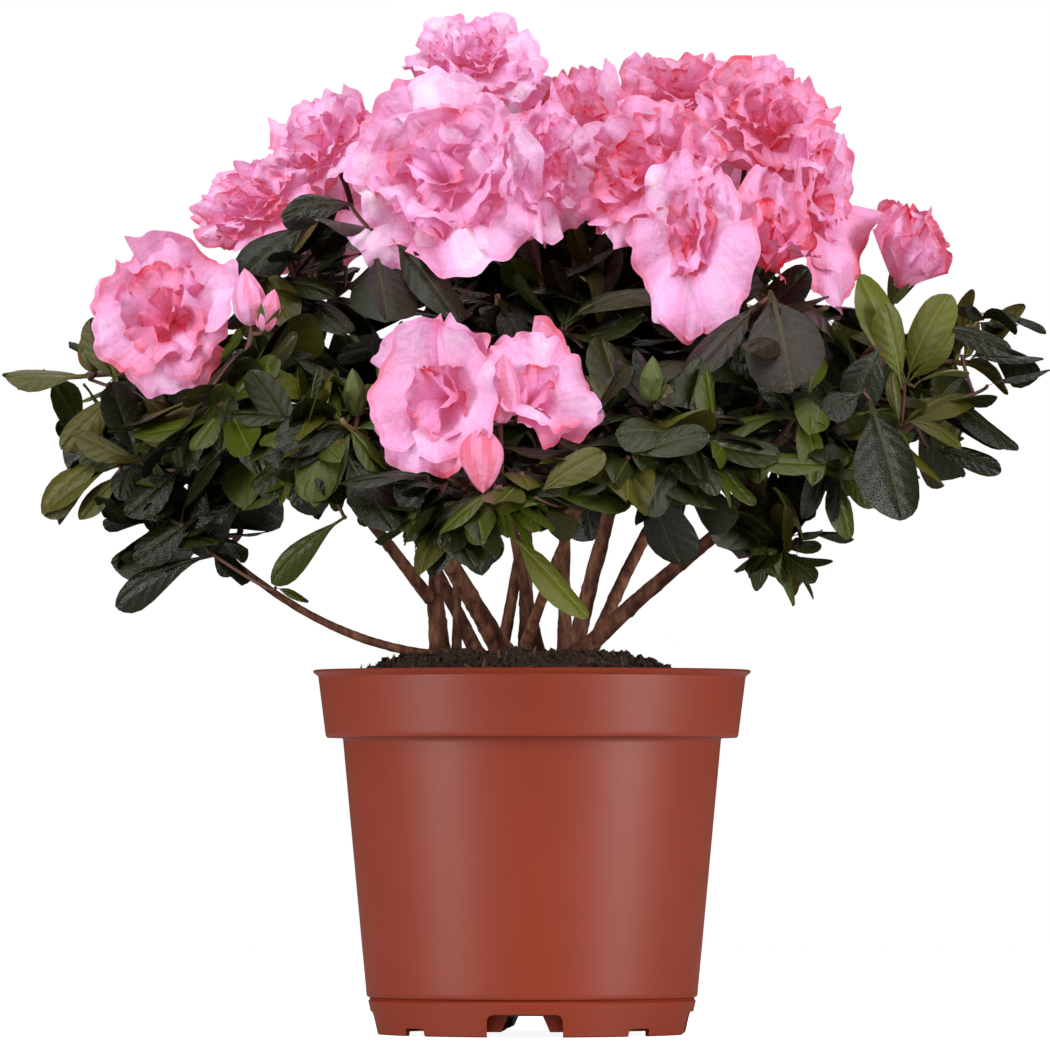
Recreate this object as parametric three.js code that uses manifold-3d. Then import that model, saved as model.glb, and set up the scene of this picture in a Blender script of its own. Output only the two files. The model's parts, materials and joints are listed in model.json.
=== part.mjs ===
// A florist's azalea in its plastic nursery pot: a wide, low shrub on a dozen leaning stems.
// Millimetres, +Z up, front towards -Y. The origin is on the pot's axis, under its foot.
import * as THREE from 'three';
import { mergeVertices } from 'three/addons/utils/BufferGeometryUtils.js';
import Module from 'manifold-3d';

const wasm = await Module();
wasm.setup();

const clearance = 0.3; // gap between pieces that meet

// Pot, from the foot up.
const wall = 1.3;
const footRadius = 46.9;
const skirtHeight = 10.2;
const skirtRadius = 49.2;
const grooveDepth = 0.6;
const grooveHeight = 0.8;
const bodyFootRadius = 49.6;
const bodyTopRadius = 56.7;
const bandFootHeight = 88.6;
const bandFootRadius = 61.8;
const bandTopHeight = 107.4;
const bandTopRadius = 64.2;
const lipRadius = 65.7;
const potHeight = 109;
const floorUnderside = 6.3;
const floorTop = floorUnderside + wall;
const potSides = 28;
const potTurn = -2.7; // degrees that the foot's pattern is turned on the pot's axis

// Foot pattern: four see-through notches, four shallow ones, and pads under the floor.
const notchWidth = 22.5;
const notchHeight = 6.8;
const notchCorner = 2.2;
const shallowWidth = 8.1;
const shallowHeight = 2.3;
const shallowSlope = 1.6;
const channelTopWidth = 10.3;
const channelFootWidth = 16.8;
const padRadius = 43;
const padHeight = 1.5;
const drainRadius = 3.5;
const drainReach = 33;

// Compost: a low mound, level where the stems stand.
const compostHeight = 113;
const compostLevelRadius = 36;
const compostEdgeHeight = 105;

// Stems and boughs.
const limbSides = 6;
const limbStep = 17; // length of one straight stretch
const buriedShare = 0.12; // share of the limb's curve run on backwards, then cut off level
const flareLength = 5; // height over which the foot's flare dies away
const flareShare = 0.45; // extra radius at the foot, as a share of it

// Foliage and blossom clumps.
const blossomDetail = 1;
const foliageLobes = 9;
const blossomLobes = 6;
const lobeSharpness = 7;
const clumpGrowth = 0.5; // how much a clump grows before it trims its neighbour

const potPlastic = new THREE.MeshStandardMaterial({ color: 0x9c4432, roughness: 0.45 });
const compost = new THREE.MeshStandardMaterial({ color: 0x2c1e16, roughness: 0.95 });
const bark = new THREE.MeshStandardMaterial({ color: 0x5c4030, roughness: 0.85 });
const leafGreen = new THREE.MeshStandardMaterial({ color: 0x33421c, roughness: 0.55 });
const petalPink = new THREE.MeshStandardMaterial({ color: 0xee8fbb, roughness: 0.6 });

const group = new THREE.Group();

function toSolid(geometry) {
  const bare = geometry.clone();
  bare.deleteAttribute('normal');
  bare.deleteAttribute('uv');
  const merged = mergeVertices(bare);
  const corners = merged.index.array;
  const triVerts = [];
  for (let i = 0; i < corners.length; i += 3) {
    const [a, b, c] = corners.slice(i, i + 3);
    if (a !== b && b !== c && c !== a) triVerts.push(a, b, c);
  }
  return new wasm.Manifold(new wasm.Mesh({
    numProp: 3,
    vertProperties: merged.attributes.position.array,
    triVerts: new Uint32Array(triVerts),
  }));
}

function toGeometry(solid) {
  const mesh = solid.getMesh();
  const geometry = new THREE.BufferGeometry();
  geometry.setAttribute('position', new THREE.BufferAttribute(mesh.vertProperties, 3));
  geometry.setIndex(new THREE.BufferAttribute(mesh.triVerts, 1));
  geometry.computeVertexNormals();
  return geometry;
}

function largestBody(solid) {
  return solid.decompose().reduce((best, body) => (body.volume() > best.volume() ? body : best));
}

function lowestBody(solid) {
  const foot = (body) => body.boundingBox().min[2];
  return solid.decompose().reduce((best, body) => (foot(body) < foot(best) ? body : best));
}

function addPiece(name, solid, material) {
  const mesh = new THREE.Mesh(toGeometry(solid), material.clone());
  mesh.name = name;
  group.add(mesh);
}

function turned(profile, sides) {
  const points = profile.map(([radius, height]) => new THREE.Vector2(radius, height));
  return toSolid(new THREE.LatheGeometry(points, sides).rotateX(Math.PI / 2));
}

// A prism whose section stands upright, run outwards along the given bearing.
function radialPrism(section, near, far, bearing) {
  const prism = new THREE.ExtrudeGeometry(section, { depth: far - near, bevelEnabled: false });
  prism.rotateX(Math.PI / 2);
  prism.translate(0, -near, 0);
  prism.rotateZ(THREE.MathUtils.degToRad(bearing));
  return toSolid(prism);
}

function trapezoid(footWidth, topWidth, foot, top) {
  const section = new THREE.Shape();
  section.moveTo(-footWidth / 2, foot);
  section.lineTo(footWidth / 2, foot);
  section.lineTo(topWidth / 2, top);
  section.lineTo(-topWidth / 2, top);
  section.closePath();
  return section;
}

function notchSection() {
  const half = notchWidth / 2;
  const section = new THREE.Shape();
  section.moveTo(-half, -1);
  section.lineTo(half, -1);
  section.lineTo(half, notchHeight - notchCorner);
  section.quadraticCurveTo(half, notchHeight, half - notchCorner, notchHeight);
  section.lineTo(notchCorner - half, notchHeight);
  section.quadraticCurveTo(-half, notchHeight, -half, notchHeight - notchCorner);
  section.closePath();
  return section;
}

function makePot() {
  const footInner = footRadius - wall;
  const innerBodyTop = bodyTopRadius - wall;
  const innerBandFoot = bandFootRadius - wall;
  let pot = turned([
    [0, floorUnderside],
    [footInner, floorUnderside],
    [footInner, 0],
    [footRadius, 0],
    [skirtRadius, skirtHeight],
    [skirtRadius - grooveDepth, skirtHeight],
    [skirtRadius - grooveDepth, skirtHeight + grooveHeight],
    [bodyFootRadius, skirtHeight + grooveHeight],
    [bodyTopRadius, bandFootHeight],
    [bandFootRadius - 0.5, bandFootHeight],
    [bandFootRadius, bandFootHeight + 0.6],
    [bandTopRadius, bandTopHeight],
    [lipRadius, potHeight - 0.7],
    [lipRadius - 0.2, potHeight],
    [bandTopRadius - wall, potHeight - 0.3],
    [innerBandFoot, bandFootHeight + wall],
    [innerBodyTop, bandFootHeight + wall / 2],
    [bodyFootRadius - 2 * wall, floorTop + 1],
    [bodyFootRadius - 3 * wall, floorTop],
    [0, floorTop],
  ], potSides);
  let pads = turned([
    [0, padHeight],
    [padRadius, padHeight],
    [padRadius, floorUnderside + wall / 2],
    [0, floorUnderside + wall / 2],
  ], potSides);
  const channel = trapezoid(channelFootWidth, channelTopWidth, 0, floorUnderside);
  const shallowFoot = shallowWidth + shallowSlope;
  for (let quarter = 0; quarter < 4; quarter += 1) {
    const bearing = potTurn + 90 * quarter;
    pads = pads.subtract(radialPrism(channel, 0, footRadius, bearing));
    pot = pot.subtract(radialPrism(notchSection(), padRadius + 1, skirtRadius + 5, bearing));
    const shallow = trapezoid(shallowFoot, shallowWidth, -1, shallowHeight);
    pot = pot.subtract(radialPrism(shallow, padRadius + 1, skirtRadius + 5, bearing + 45));
  }
  pot = pot.add(pads);
  const drains = [[0, 0]];
  for (let quarter = 0; quarter < 4; quarter += 1) {
    const bearing = THREE.MathUtils.degToRad(potTurn + 90 * quarter);
    drains.push([drainReach * Math.cos(bearing), drainReach * Math.sin(bearing)]);
  }
  for (const [x, y] of drains) {
    const drill = new THREE.CylinderGeometry(drainRadius, drainRadius, 4 * floorTop, 12);
    pot = pot.subtract(toSolid(drill.rotateX(Math.PI / 2).translate(x, y, 0)));
  }
  return pot;
}

function makeCompost() {
  const slack = 2 * clearance;
  return turned([
    [0, floorTop + clearance],
    [bodyFootRadius - 3 * wall - slack, floorTop + clearance],
    [bodyFootRadius - 2 * wall - slack, floorTop + 1 + clearance],
    [bodyTopRadius - wall - slack, bandFootHeight + wall / 2 + clearance],
    [bandFootRadius - wall - 2 * slack, bandFootHeight + wall + clearance],
    [bandTopRadius - wall - 2 * slack, compostEdgeHeight],
    [(compostLevelRadius + bandTopRadius) / 2, (compostEdgeHeight + compostHeight) / 2],
    [compostLevelRadius, compostHeight],
    [0, compostHeight],
  ], potSides);
}

function seededRandom(seed) {
  let state = seed * 7919 + 17;
  return () => {
    state = (state + 0x6d2b79f5) | 0;
    let mixed = Math.imul(state ^ (state >>> 15), 1 | state);
    mixed = (mixed + Math.imul(mixed ^ (mixed >>> 7), 61 | mixed)) ^ mixed;
    return ((mixed ^ (mixed >>> 14)) >>> 0) / 4294967296;
  };
}

function seededDirection(random) {
  const height = 2 * random() - 1;
  const angle = 2 * Math.PI * random();
  const across = Math.sqrt(1 - height * height);
  return new THREE.Vector3(across * Math.cos(angle), across * Math.sin(angle), height);
}

// A faceted ball with seeded pointed lobes, fitted exactly into the box centre +- half.
function clump({ centre, half, seed, detail }, lobeCount, growth = 0) {
  const random = seededRandom(seed);
  const lobes = Array.from({ length: lobeCount }, () => ({
    direction: seededDirection(random),
    height: 0.25 + 0.5 * random(),
  }));
  const geometry = new THREE.IcosahedronGeometry(1, detail);
  const position = geometry.attributes.position;
  const point = new THREE.Vector3();
  for (let i = 0; i < position.count; i += 1) {
    point.fromBufferAttribute(position, i).normalize();
    const bulge = lobes.reduce((sum, lobe) => {
      const facing = Math.max(0, lobe.direction.dot(point));
      return sum + lobe.height * facing ** lobeSharpness;
    }, 0);
    point.multiplyScalar(1 + bulge);
    position.setXYZ(i, point.x, point.y, point.z);
  }
  geometry.computeBoundingBox();
  const box = geometry.boundingBox;
  const size = box.getSize(new THREE.Vector3());
  const middle = box.getCenter(new THREE.Vector3());
  geometry.translate(-middle.x, -middle.y, -middle.z);
  const stretch = half.map((value, axis) => (2 * (value + growth)) / size.getComponent(axis));
  geometry.scale(...stretch);
  geometry.translate(...centre);
  return toSolid(geometry);
}

// One tapering limb on a plain curve from foot to tip, with its middle moved by bow.
function limb({ foot, tip, bow = [0, 0, 0], thick, thin, rooted }, growth = 0) {
  const start = new THREE.Vector3(...foot);
  const end = new THREE.Vector3(...tip);
  const bend = start.clone().lerp(end, 0.5).addScaledVector(new THREE.Vector3(...bow), 2);
  const curve = new THREE.QuadraticBezierCurve3(start, bend, end);
  const length = curve.getLength();
  const steps = Math.max(4, Math.round(length / limbStep));
  const startShare = rooted ? -buriedShare : 0;
  const lean = end.clone().sub(start);
  const across = new THREE.Vector3(-lean.y, lean.x, 0).normalize();
  const geometry = new THREE.CylinderGeometry(1, 1, 1, limbSides, steps);
  const position = geometry.attributes.position;
  for (let i = 0; i < position.count; i += 1) {
    const share = THREE.MathUtils.lerp(startShare, 1, position.getY(i) + 0.5);
    const point = curve.getPoint(share);
    const ahead = curve.getPoint(share + 0.01).sub(point).normalize();
    const side = across.clone().addScaledVector(ahead, -across.dot(ahead)).normalize();
    const over = side.clone().cross(ahead);
    const rise = Math.max(0, share * length);
    const flare = rooted ? 1 + flareShare * Math.exp(-rise / flareLength) : 1;
    const radius = (THREE.MathUtils.lerp(thick, thin, share) / 2) * flare + growth;
    point.addScaledVector(side, position.getX(i) * radius);
    point.addScaledVector(over, position.getZ(i) * radius);
    position.setXYZ(i, point.x, point.y, point.z);
  }
  return toSolid(geometry);
}

const stemFoot = compostHeight + clearance;

// Stems that stand in the compost, each with its foot, its tip and its thickness at both.
const stems = [
  { name: 'bough_left_low', foot: [-29, -7], tip: [-111, -24, 159], bow: [0, 0, -9], thick: 3, thin: 2 },
  { name: 'stem_left', foot: [-27, 0], tip: [-29.5, -1, 132], thick: 5.8, thin: 5 },
  { name: 'stem_left_thin', foot: [-20.5, 7], tip: [-32, 34, 202], bow: [4, 0, 0], thick: 2.8, thin: 2 },
  { name: 'stem_centre', foot: [-8, -9], tip: [-54, -60, 176], bow: [2, 0, 4], thick: 6, thin: 3.4 },
  { name: 'stem_centre_short', foot: [-10, 5], tip: [10, 16, 200], bow: [-2, 0, 0], thick: 3.8, thin: 2.4 },
  { name: 'stem_centre_front', foot: [-3.5, -17], tip: [24, -74, 172], bow: [-3, 0, 2], thick: 3.4, thin: 2.4 },
  { name: 'stem_centre_back', foot: [3, -1], tip: [-18, -14, 198], bow: [2, 0, 0], thick: 3.4, thin: 2.4 },
  { name: 'stem_right_upright', foot: [9.5, 7], tip: [8, 20, 202], bow: [2, 0, 0], thick: 4, thin: 2.8 },
  { name: 'stem_right', foot: [11.5, -3], tip: [34, -18, 198], bow: [0, 0, 0], thick: 5, thin: 3.4 },
  { name: 'bough_right', foot: [15, -12], tip: [68, -40, 156], bow: [-1, 0, 1], thick: 5.4, thin: 3.4 },
  { name: 'stem_back_left', foot: [-16, 17], tip: [-58, 80, 186], bow: [0, 0, 3], thick: 4.2, thin: 2.8 },
  { name: 'stem_back', foot: [-2, 17], tip: [0, 100, 182], bow: [0, -2, 3], thick: 4.6, thin: 3 },
  { name: 'stem_back_right', foot: [17, 16], tip: [58, 78, 188], bow: [0, 0, 3], thick: 4.2, thin: 2.8 },
];

// Branches that start on another limb's end.
const branches = [
  { name: 'branch_left_outer', foot: [-29.8, -1.5, 131], tip: [-76, -38, 188], thick: 3.8, thin: 2.6 },
  { name: 'branch_left_inner', foot: [-29.2, -0.6, 131], tip: [-26, 4, 202], thick: 4.2, thin: 3 },
];

const foliage = [
  { name: 'foliage_left_tip', centre: [-129.5, -12, 196], half: [28, 30, 15], detail: 2 },
  { name: 'foliage_left_low', centre: [-120, -20, 170], half: [30, 32, 17], detail: 1 },
  { name: 'foliage_left_under', centre: [-104, -34, 148], half: [23, 24, 12], detail: 1 },
  { name: 'foliage_left_middle', centre: [-86, -46, 187], half: [29, 34, 23], detail: 2 },
  { name: 'foliage_left_upper', centre: [-70, -22, 226], half: [28, 34, 22], detail: 1 },
  { name: 'foliage_left_front', centre: [-54, -78, 175], half: [30, 32, 23], detail: 2 },
  { name: 'foliage_front', centre: [-14, -103, 157], half: [28, 31, 18], detail: 1 },
  { name: 'foliage_heart', centre: [0, 0, 204], half: [52, 56, 38], detail: 2 },
  { name: 'foliage_right_front', centre: [34, -84, 171], half: [30, 36, 28], detail: 2 },
  { name: 'foliage_right_middle', centre: [74, -62, 175], half: [28, 34, 26], detail: 2 },
  { name: 'foliage_right_under', centre: [72, -46, 143], half: [14, 22, 12], detail: 1 },
  { name: 'foliage_right_upper', centre: [66, -34, 213], half: [32, 34, 22], detail: 1 },
  { name: 'foliage_right_tip', centre: [124, -8, 209], half: [32.5, 32, 16], detail: 2 },
  { name: 'foliage_right_low', centre: [112, -22, 179], half: [33, 34, 22], detail: 1 },
  { name: 'foliage_back_left_side', centre: [-104, 48, 188], half: [36, 34, 30], detail: 2 },
  { name: 'foliage_back_left', centre: [-54, 92, 184], half: [36, 36, 34], detail: 2 },
  { name: 'foliage_back', centre: [2, 103, 178], half: [28, 31, 36], detail: 1 },
  { name: 'foliage_back_right', centre: [56, 88, 186], half: [36, 38, 34], detail: 2 },
  { name: 'foliage_back_right_side', centre: [106, 42, 190], half: [34, 34, 30], detail: 2 },
  { name: 'foliage_back_upper', centre: [-4, 50, 232], half: [44, 30, 24], detail: 1 },
];

const blossom = [
  { name: 'blossom_left', centre: [-109, -36, 214], half: [21.5, 19, 24] },
  { name: 'blossom_left_upper', centre: [-83, -14, 247], half: [19, 18, 14] },
  { name: 'blossom_upper_left', centre: [-64, 6, 267], half: [17, 18, 18] },
  { name: 'blossom_large', centre: [-27.5, -40, 256], half: [30, 21, 31] },
  { name: 'blossom_top', centre: [-17, -2, 291], half: [21, 20, 16] },
  { name: 'blossom_centre', centre: [4, -34, 256], half: [14, 17, 21] },
  { name: 'blossom_centre_cup', centre: [15, -6, 275], half: [15, 15, 17] },
  { name: 'blossom_right_top', centre: [45, 4, 282], half: [20, 18, 12] },
  { name: 'blossom_right_rosette', centre: [35, -34, 256], half: [19, 17, 20] },
  { name: 'blossom_right_upper', centre: [70, -16, 273], half: [19, 19, 17] },
  { name: 'blossom_right_front', centre: [48, -58, 233], half: [17, 14, 28] },
  { name: 'blossom_right_cup', centre: [70, -52, 240], half: [13, 15, 15] },
  { name: 'blossom_right_side', centre: [91, -22, 243], half: [11, 20, 25] },
  { name: 'blossom_right_tip', centre: [114, -4, 237], half: [11.5, 12, 14] },
  { name: 'blossom_front_left', centre: [-28, -106, 187], half: [19, 15, 23] },
  { name: 'blossom_front_right', centre: [3, -100, 191], half: [17, 15, 19] },
  { name: 'blossom_back_left', centre: [-66, 48, 254], half: [24, 22, 22] },
  { name: 'blossom_back_top', centre: [-6, 42, 276], half: [26, 20, 20] },
  { name: 'blossom_back', centre: [6, 92, 236], half: [26, 21, 22] },
  { name: 'blossom_back_right', centre: [64, 42, 260], half: [25, 22, 22] },
];

addPiece('pot', makePot(), potPlastic);
addPiece('compost', makeCompost(), compost);

// Blossom keeps its shape, each clump of leaves is trimmed by what is already there,
// and each limb ends where it enters a clump.
let taken = null;

function occupy(solid) {
  taken = taken ? taken.add(solid) : solid;
}

function clumpLeft(solid) {
  return taken ? largestBody(solid.subtract(taken)) : solid;
}

function limbLeft(solid) {
  return lowestBody(solid.subtract(taken));
}

blossom.forEach((size, index) => {
  const spec = { ...size, detail: blossomDetail, seed: index + 1 };
  addPiece(size.name, clumpLeft(clump(spec, blossomLobes)), petalPink);
  occupy(clump(spec, blossomLobes, clumpGrowth));
});

foliage.forEach((size, index) => {
  const spec = { ...size, seed: index + 101 };
  addPiece(size.name, clumpLeft(clump(spec, foliageLobes)), leafGreen);
  occupy(clump(spec, foliageLobes, clumpGrowth));
});

const ground = new THREE.BoxGeometry(600, 600, stemFoot).translate(0, 0, stemFoot / 2);
occupy(toSolid(ground));

for (const stem of stems) {
  const spec = { ...stem, foot: [...stem.foot, stemFoot], rooted: true };
  addPiece(stem.name, limbLeft(limb(spec)), bark);
  occupy(limb(spec, clearance));
}
for (const branch of branches) {
  addPiece(branch.name, limbLeft(limb(branch)), bark);
  occupy(limb(branch, clearance));
}

export default group;
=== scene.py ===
import json
import math
import random

import bmesh
import bpy
from mathutils import Matrix, Vector, noise

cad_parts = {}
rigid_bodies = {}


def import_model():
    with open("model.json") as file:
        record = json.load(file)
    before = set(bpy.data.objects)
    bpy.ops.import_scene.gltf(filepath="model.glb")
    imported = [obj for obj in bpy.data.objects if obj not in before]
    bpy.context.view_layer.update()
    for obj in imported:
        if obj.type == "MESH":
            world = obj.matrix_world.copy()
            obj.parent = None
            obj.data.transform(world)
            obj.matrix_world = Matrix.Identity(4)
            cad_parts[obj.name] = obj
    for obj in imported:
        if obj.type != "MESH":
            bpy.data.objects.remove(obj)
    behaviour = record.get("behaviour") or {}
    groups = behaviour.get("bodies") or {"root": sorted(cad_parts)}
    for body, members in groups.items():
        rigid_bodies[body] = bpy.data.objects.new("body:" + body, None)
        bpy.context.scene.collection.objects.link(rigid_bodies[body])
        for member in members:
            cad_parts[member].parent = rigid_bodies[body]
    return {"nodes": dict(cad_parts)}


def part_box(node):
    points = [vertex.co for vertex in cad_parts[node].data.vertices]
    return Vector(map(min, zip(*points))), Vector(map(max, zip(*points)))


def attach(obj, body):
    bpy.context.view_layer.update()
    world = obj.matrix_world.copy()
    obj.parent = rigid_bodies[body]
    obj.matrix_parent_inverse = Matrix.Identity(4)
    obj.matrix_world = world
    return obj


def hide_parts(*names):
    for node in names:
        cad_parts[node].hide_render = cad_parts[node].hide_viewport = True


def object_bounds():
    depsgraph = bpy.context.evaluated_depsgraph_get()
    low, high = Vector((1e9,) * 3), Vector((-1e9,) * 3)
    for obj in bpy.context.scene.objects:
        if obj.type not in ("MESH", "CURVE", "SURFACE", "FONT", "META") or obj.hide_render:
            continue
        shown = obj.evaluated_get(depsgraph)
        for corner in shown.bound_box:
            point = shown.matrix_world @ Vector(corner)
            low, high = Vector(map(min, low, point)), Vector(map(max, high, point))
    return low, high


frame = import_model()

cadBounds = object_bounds()
scene = bpy.context.scene
up = Vector((0, 0, 1))
foliageNodes = sorted(n for n in frame["nodes"] if n.startswith("foliage_"))
blossomNodes = sorted(n for n in frame["nodes"] if n.startswith("blossom_"))
print("packed model loaded:", len(frame["nodes"]), "nodes")


def lerp(a, b, share):
    return a + (b - a) * share


def smooth(low, high, value):
    share = min(1.0, max(0.0, (value - low) / (high - low)))
    return share * share * (3 - 2 * share)


clumpBoxes = {}  # middle and half size of each mass of foliage or blossom
for clump in foliageNodes + blossomNodes:
    lowCorner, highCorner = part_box(clump)
    clumpBoxes[clump] = ((lowCorner + highCorner) / 2, (highCorner - lowCorner) / 2)


def anyAcross(direction):  # a steady direction square to the given one
    other = up if abs(direction.z) < 0.9 else Vector((1, 0, 0))
    return direction.cross(other).normalized()


def spoke(side, over, angle):  # a direction in the plane of two square ones
    return side * math.cos(angle) + over * math.sin(angle)


def ringPoints(radius, sides):
    angles = [math.tau * i / sides for i in range(sides)]
    return [(radius * math.cos(angle), radius * math.sin(angle)) for angle in angles]


def table(columns, rows):  # each row becomes a dictionary with the columns as its keys
    return {name: dict(zip(columns.split(), values)) for name, values in rows.items()}


def curvePoints(start, bend, end, steps):
    points = []
    for i in range(steps + 1):
        t = i / steps
        points.append(start * (1 - t) ** 2 + bend * (2 * t * (1 - t)) + end * t ** 2)
    return points


def makeObject(name, verts, faces, materials, faceSlots=None, smoothShade=True):
    mesh = bpy.data.meshes.new(name)
    mesh.from_pydata(verts, [], faces)
    for material in materials:
        mesh.materials.append(material)
    if faceSlots:
        mesh.polygons.foreach_set("material_index", faceSlots)
    mesh.polygons.foreach_set("use_smooth", [smoothShade] * len(mesh.polygons))
    mesh.update()
    piece = bpy.data.objects.new(name, mesh)
    scene.collection.objects.link(piece)
    return piece


def finishPiece(piece, slot, *nodes):
    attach(piece, "root")
    if nodes:
        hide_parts(*nodes)
    print("piece", piece.name, len(piece.data.polygons), "faces")


cameraSpec = {"distance": 2.8, "height": 0.072, "aim": (-0.0021, 0.0, 0.1525), "lens": 320}

lightSpecs = {  # azimuth is measured from the front towards the right, in degrees
    "frontKey": {"azimuth": -8, "distance": 1.35, "height": 1.5, "size": (1.3, 0.9), "power": 17},
    "leftStrip": {"azimuth": -55, "distance": 1.3, "height": 0.27, "size": (0.36, 0.52), "power": 9},
    "rightStrip": {"azimuth": 58, "distance": 1.3, "height": 0.27, "size": (0.42, 0.52), "power": 11},
    "topPanel": {"azimuth": -10, "distance": 0.4, "height": 1.8, "size": (1.4, 1.2), "power": 10},
    "backPanel": {"azimuth": 178, "distance": 1.0, "height": 1.6, "size": (1.6, 0.8), "power": 9},
}

studioSpec = {"lampAim": 0.15, "worldLight": 0.05, "floorHalf": 1.4, "floorGrey": 0.45, "floorGlow": 0.92}


def setSockets(node, values):
    for label, value in values.items():
        node.inputs[label].default_value = value


def placeCamera():
    aim = Vector(cameraSpec["aim"])
    data = bpy.data.cameras.new("frontCamera")
    data.lens = cameraSpec["lens"]
    data.sensor_width = 36
    camera = bpy.data.objects.new("frontCamera", data)
    camera.location = (aim.x, -cameraSpec["distance"], cameraSpec["height"])
    camera.rotation_euler = (aim - camera.location).to_track_quat("-Z", "Y").to_euler()
    scene.collection.objects.link(camera)
    scene.camera = camera


def placeLights():
    aim = Vector((0, 0, studioSpec["lampAim"]))
    for name, spec in lightSpecs.items():
        data = bpy.data.lights.new(name, "AREA")
        data.shape = "RECTANGLE"
        data.size, data.size_y = spec["size"]
        data.energy = spec["power"]
        lamp = bpy.data.objects.new(name, data)
        angle = math.radians(spec["azimuth"])
        reach = spec["distance"]
        lamp.location = (reach * math.sin(angle), -reach * math.cos(angle), spec["height"])
        lamp.rotation_euler = (aim - lamp.location).to_track_quat("-Z", "Y").to_euler()
        scene.collection.objects.link(lamp)


def placeWorld():  # white to the eye, dimmer as a source of light
    world = bpy.data.worlds.new("softStudio")
    world.use_nodes = True
    nodes, links = world.node_tree.nodes, world.node_tree.links
    nodes.clear()
    seen = nodes.new("ShaderNodeBackground")
    lit = nodes.new("ShaderNodeBackground")
    setSockets(seen, {"Strength": 1.0, "Color": (1, 1, 1, 1)})
    setSockets(lit, {"Strength": studioSpec["worldLight"], "Color": (1, 1, 1, 1)})
    path = nodes.new("ShaderNodeLightPath")
    mix = nodes.new("ShaderNodeMixShader")
    out = nodes.new("ShaderNodeOutputWorld")
    links.new(path.outputs["Is Camera Ray"], mix.inputs[0])
    links.new(lit.outputs[0], mix.inputs[1])
    links.new(seen.outputs[0], mix.inputs[2])
    links.new(mix.outputs[0], out.inputs["Surface"])
    scene.world = world


def placeFloor():  # its glow is for the eye only, so it doesn't light the pot from below
    half, grey, glow = studioSpec["floorHalf"], studioSpec["floorGrey"], studioSpec["floorGlow"]
    low = cadBounds[0][2]
    corners = [(-half, -half, low), (half, -half, low), (half, half, low), (-half, half, low)]
    material = bpy.data.materials.new("paleFloor")
    material.use_nodes = True
    nodes, links = material.node_tree.nodes, material.node_tree.links
    shader = nodes["Principled BSDF"]
    setSockets(shader, {"Base Color": (grey, grey, grey, 1), "Roughness": 0.9,
                        "Emission Color": (glow, glow, glow, 1)})
    path = nodes.new("ShaderNodeLightPath")
    links.new(path.outputs["Is Camera Ray"], shader.inputs["Emission Strength"])
    floor = makeObject("paleFloor", corners, [(0, 1, 2, 3)], [material])


scene.view_settings.view_transform = "Standard"
placeCamera()
placeLights()
placeWorld()
placeFloor()
print("camera, light and floor placed")


def newFinish(name, colour, roughness):
    material = bpy.data.materials.new(name)
    material.use_nodes = True
    shader = material.node_tree.nodes["Principled BSDF"]
    setSockets(shader, {"Base Color": (*colour, 1), "Roughness": roughness})
    return material, material.node_tree.nodes, material.node_tree.links, shader


def addNoise(nodes, links, scale, detail=3.0, stretch=None):
    place = nodes.new("ShaderNodeTexCoord")
    texture = nodes.new("ShaderNodeTexNoise")
    setSockets(texture, {"Scale": scale, "Detail": detail})
    source = place.outputs["Object"]
    if stretch:
        mapping = nodes.new("ShaderNodeMapping")
        mapping.inputs["Scale"].default_value = stretch
        links.new(source, mapping.inputs["Vector"])
        source = mapping.outputs["Vector"]
    links.new(source, texture.inputs["Vector"])
    return texture


def addRange(nodes, links, source, low, high):
    remap = nodes.new("ShaderNodeMapRange")
    setSockets(remap, {"From Min": 0.3, "From Max": 0.7, "To Min": low, "To Max": high})
    links.new(source, remap.inputs["Value"])
    return remap.outputs["Result"]


def addBump(nodes, links, shader, height, distance):
    bump = nodes.new("ShaderNodeBump")
    bump.inputs["Distance"].default_value = distance
    links.new(height, bump.inputs["Height"])
    links.new(bump.outputs["Normal"], shader.inputs["Normal"])


def addColours(nodes, links, shader, factor, stops):
    ramp = nodes.new("ShaderNodeValToRGB")
    elements = ramp.color_ramp.elements
    while len(elements) < len(stops):
        elements.new(0.5)
    for element, (place, colour) in zip(elements, stops):
        element.position = place
        element.color = (*colour, 1)
    links.new(factor, ramp.inputs["Fac"])
    links.new(ramp.outputs["Color"], shader.inputs["Base Color"])


potFinishSpec = {
    "dark": (0.288, 0.0300, 0.0050),
    "light": (0.306, 0.0330, 0.0065),
    "roughness": (0.42, 0.50),
    "specular": 0.6,
    "cloud": 60,
    "grain": 1900,
    "grainDepth": 0.000010,
}


def potFinish():
    spec = potFinishSpec
    material, nodes, links, shader = newFinish("mouldedPotPlastic", spec["light"], spec["roughness"][0])
    shader.inputs["Specular IOR Level"].default_value = spec["specular"]
    cloud = addNoise(nodes, links, spec["cloud"], 4)
    addColours(nodes, links, shader, cloud.outputs["Fac"], [(0.3, spec["dark"]), (0.7, spec["light"])])
    grain = addNoise(nodes, links, spec["grain"], 2)
    links.new(addRange(nodes, links, grain.outputs["Fac"], *spec["roughness"]), shader.inputs["Roughness"])
    addBump(nodes, links, shader, grain.outputs["Fac"], spec["grainDepth"])
    return material


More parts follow.
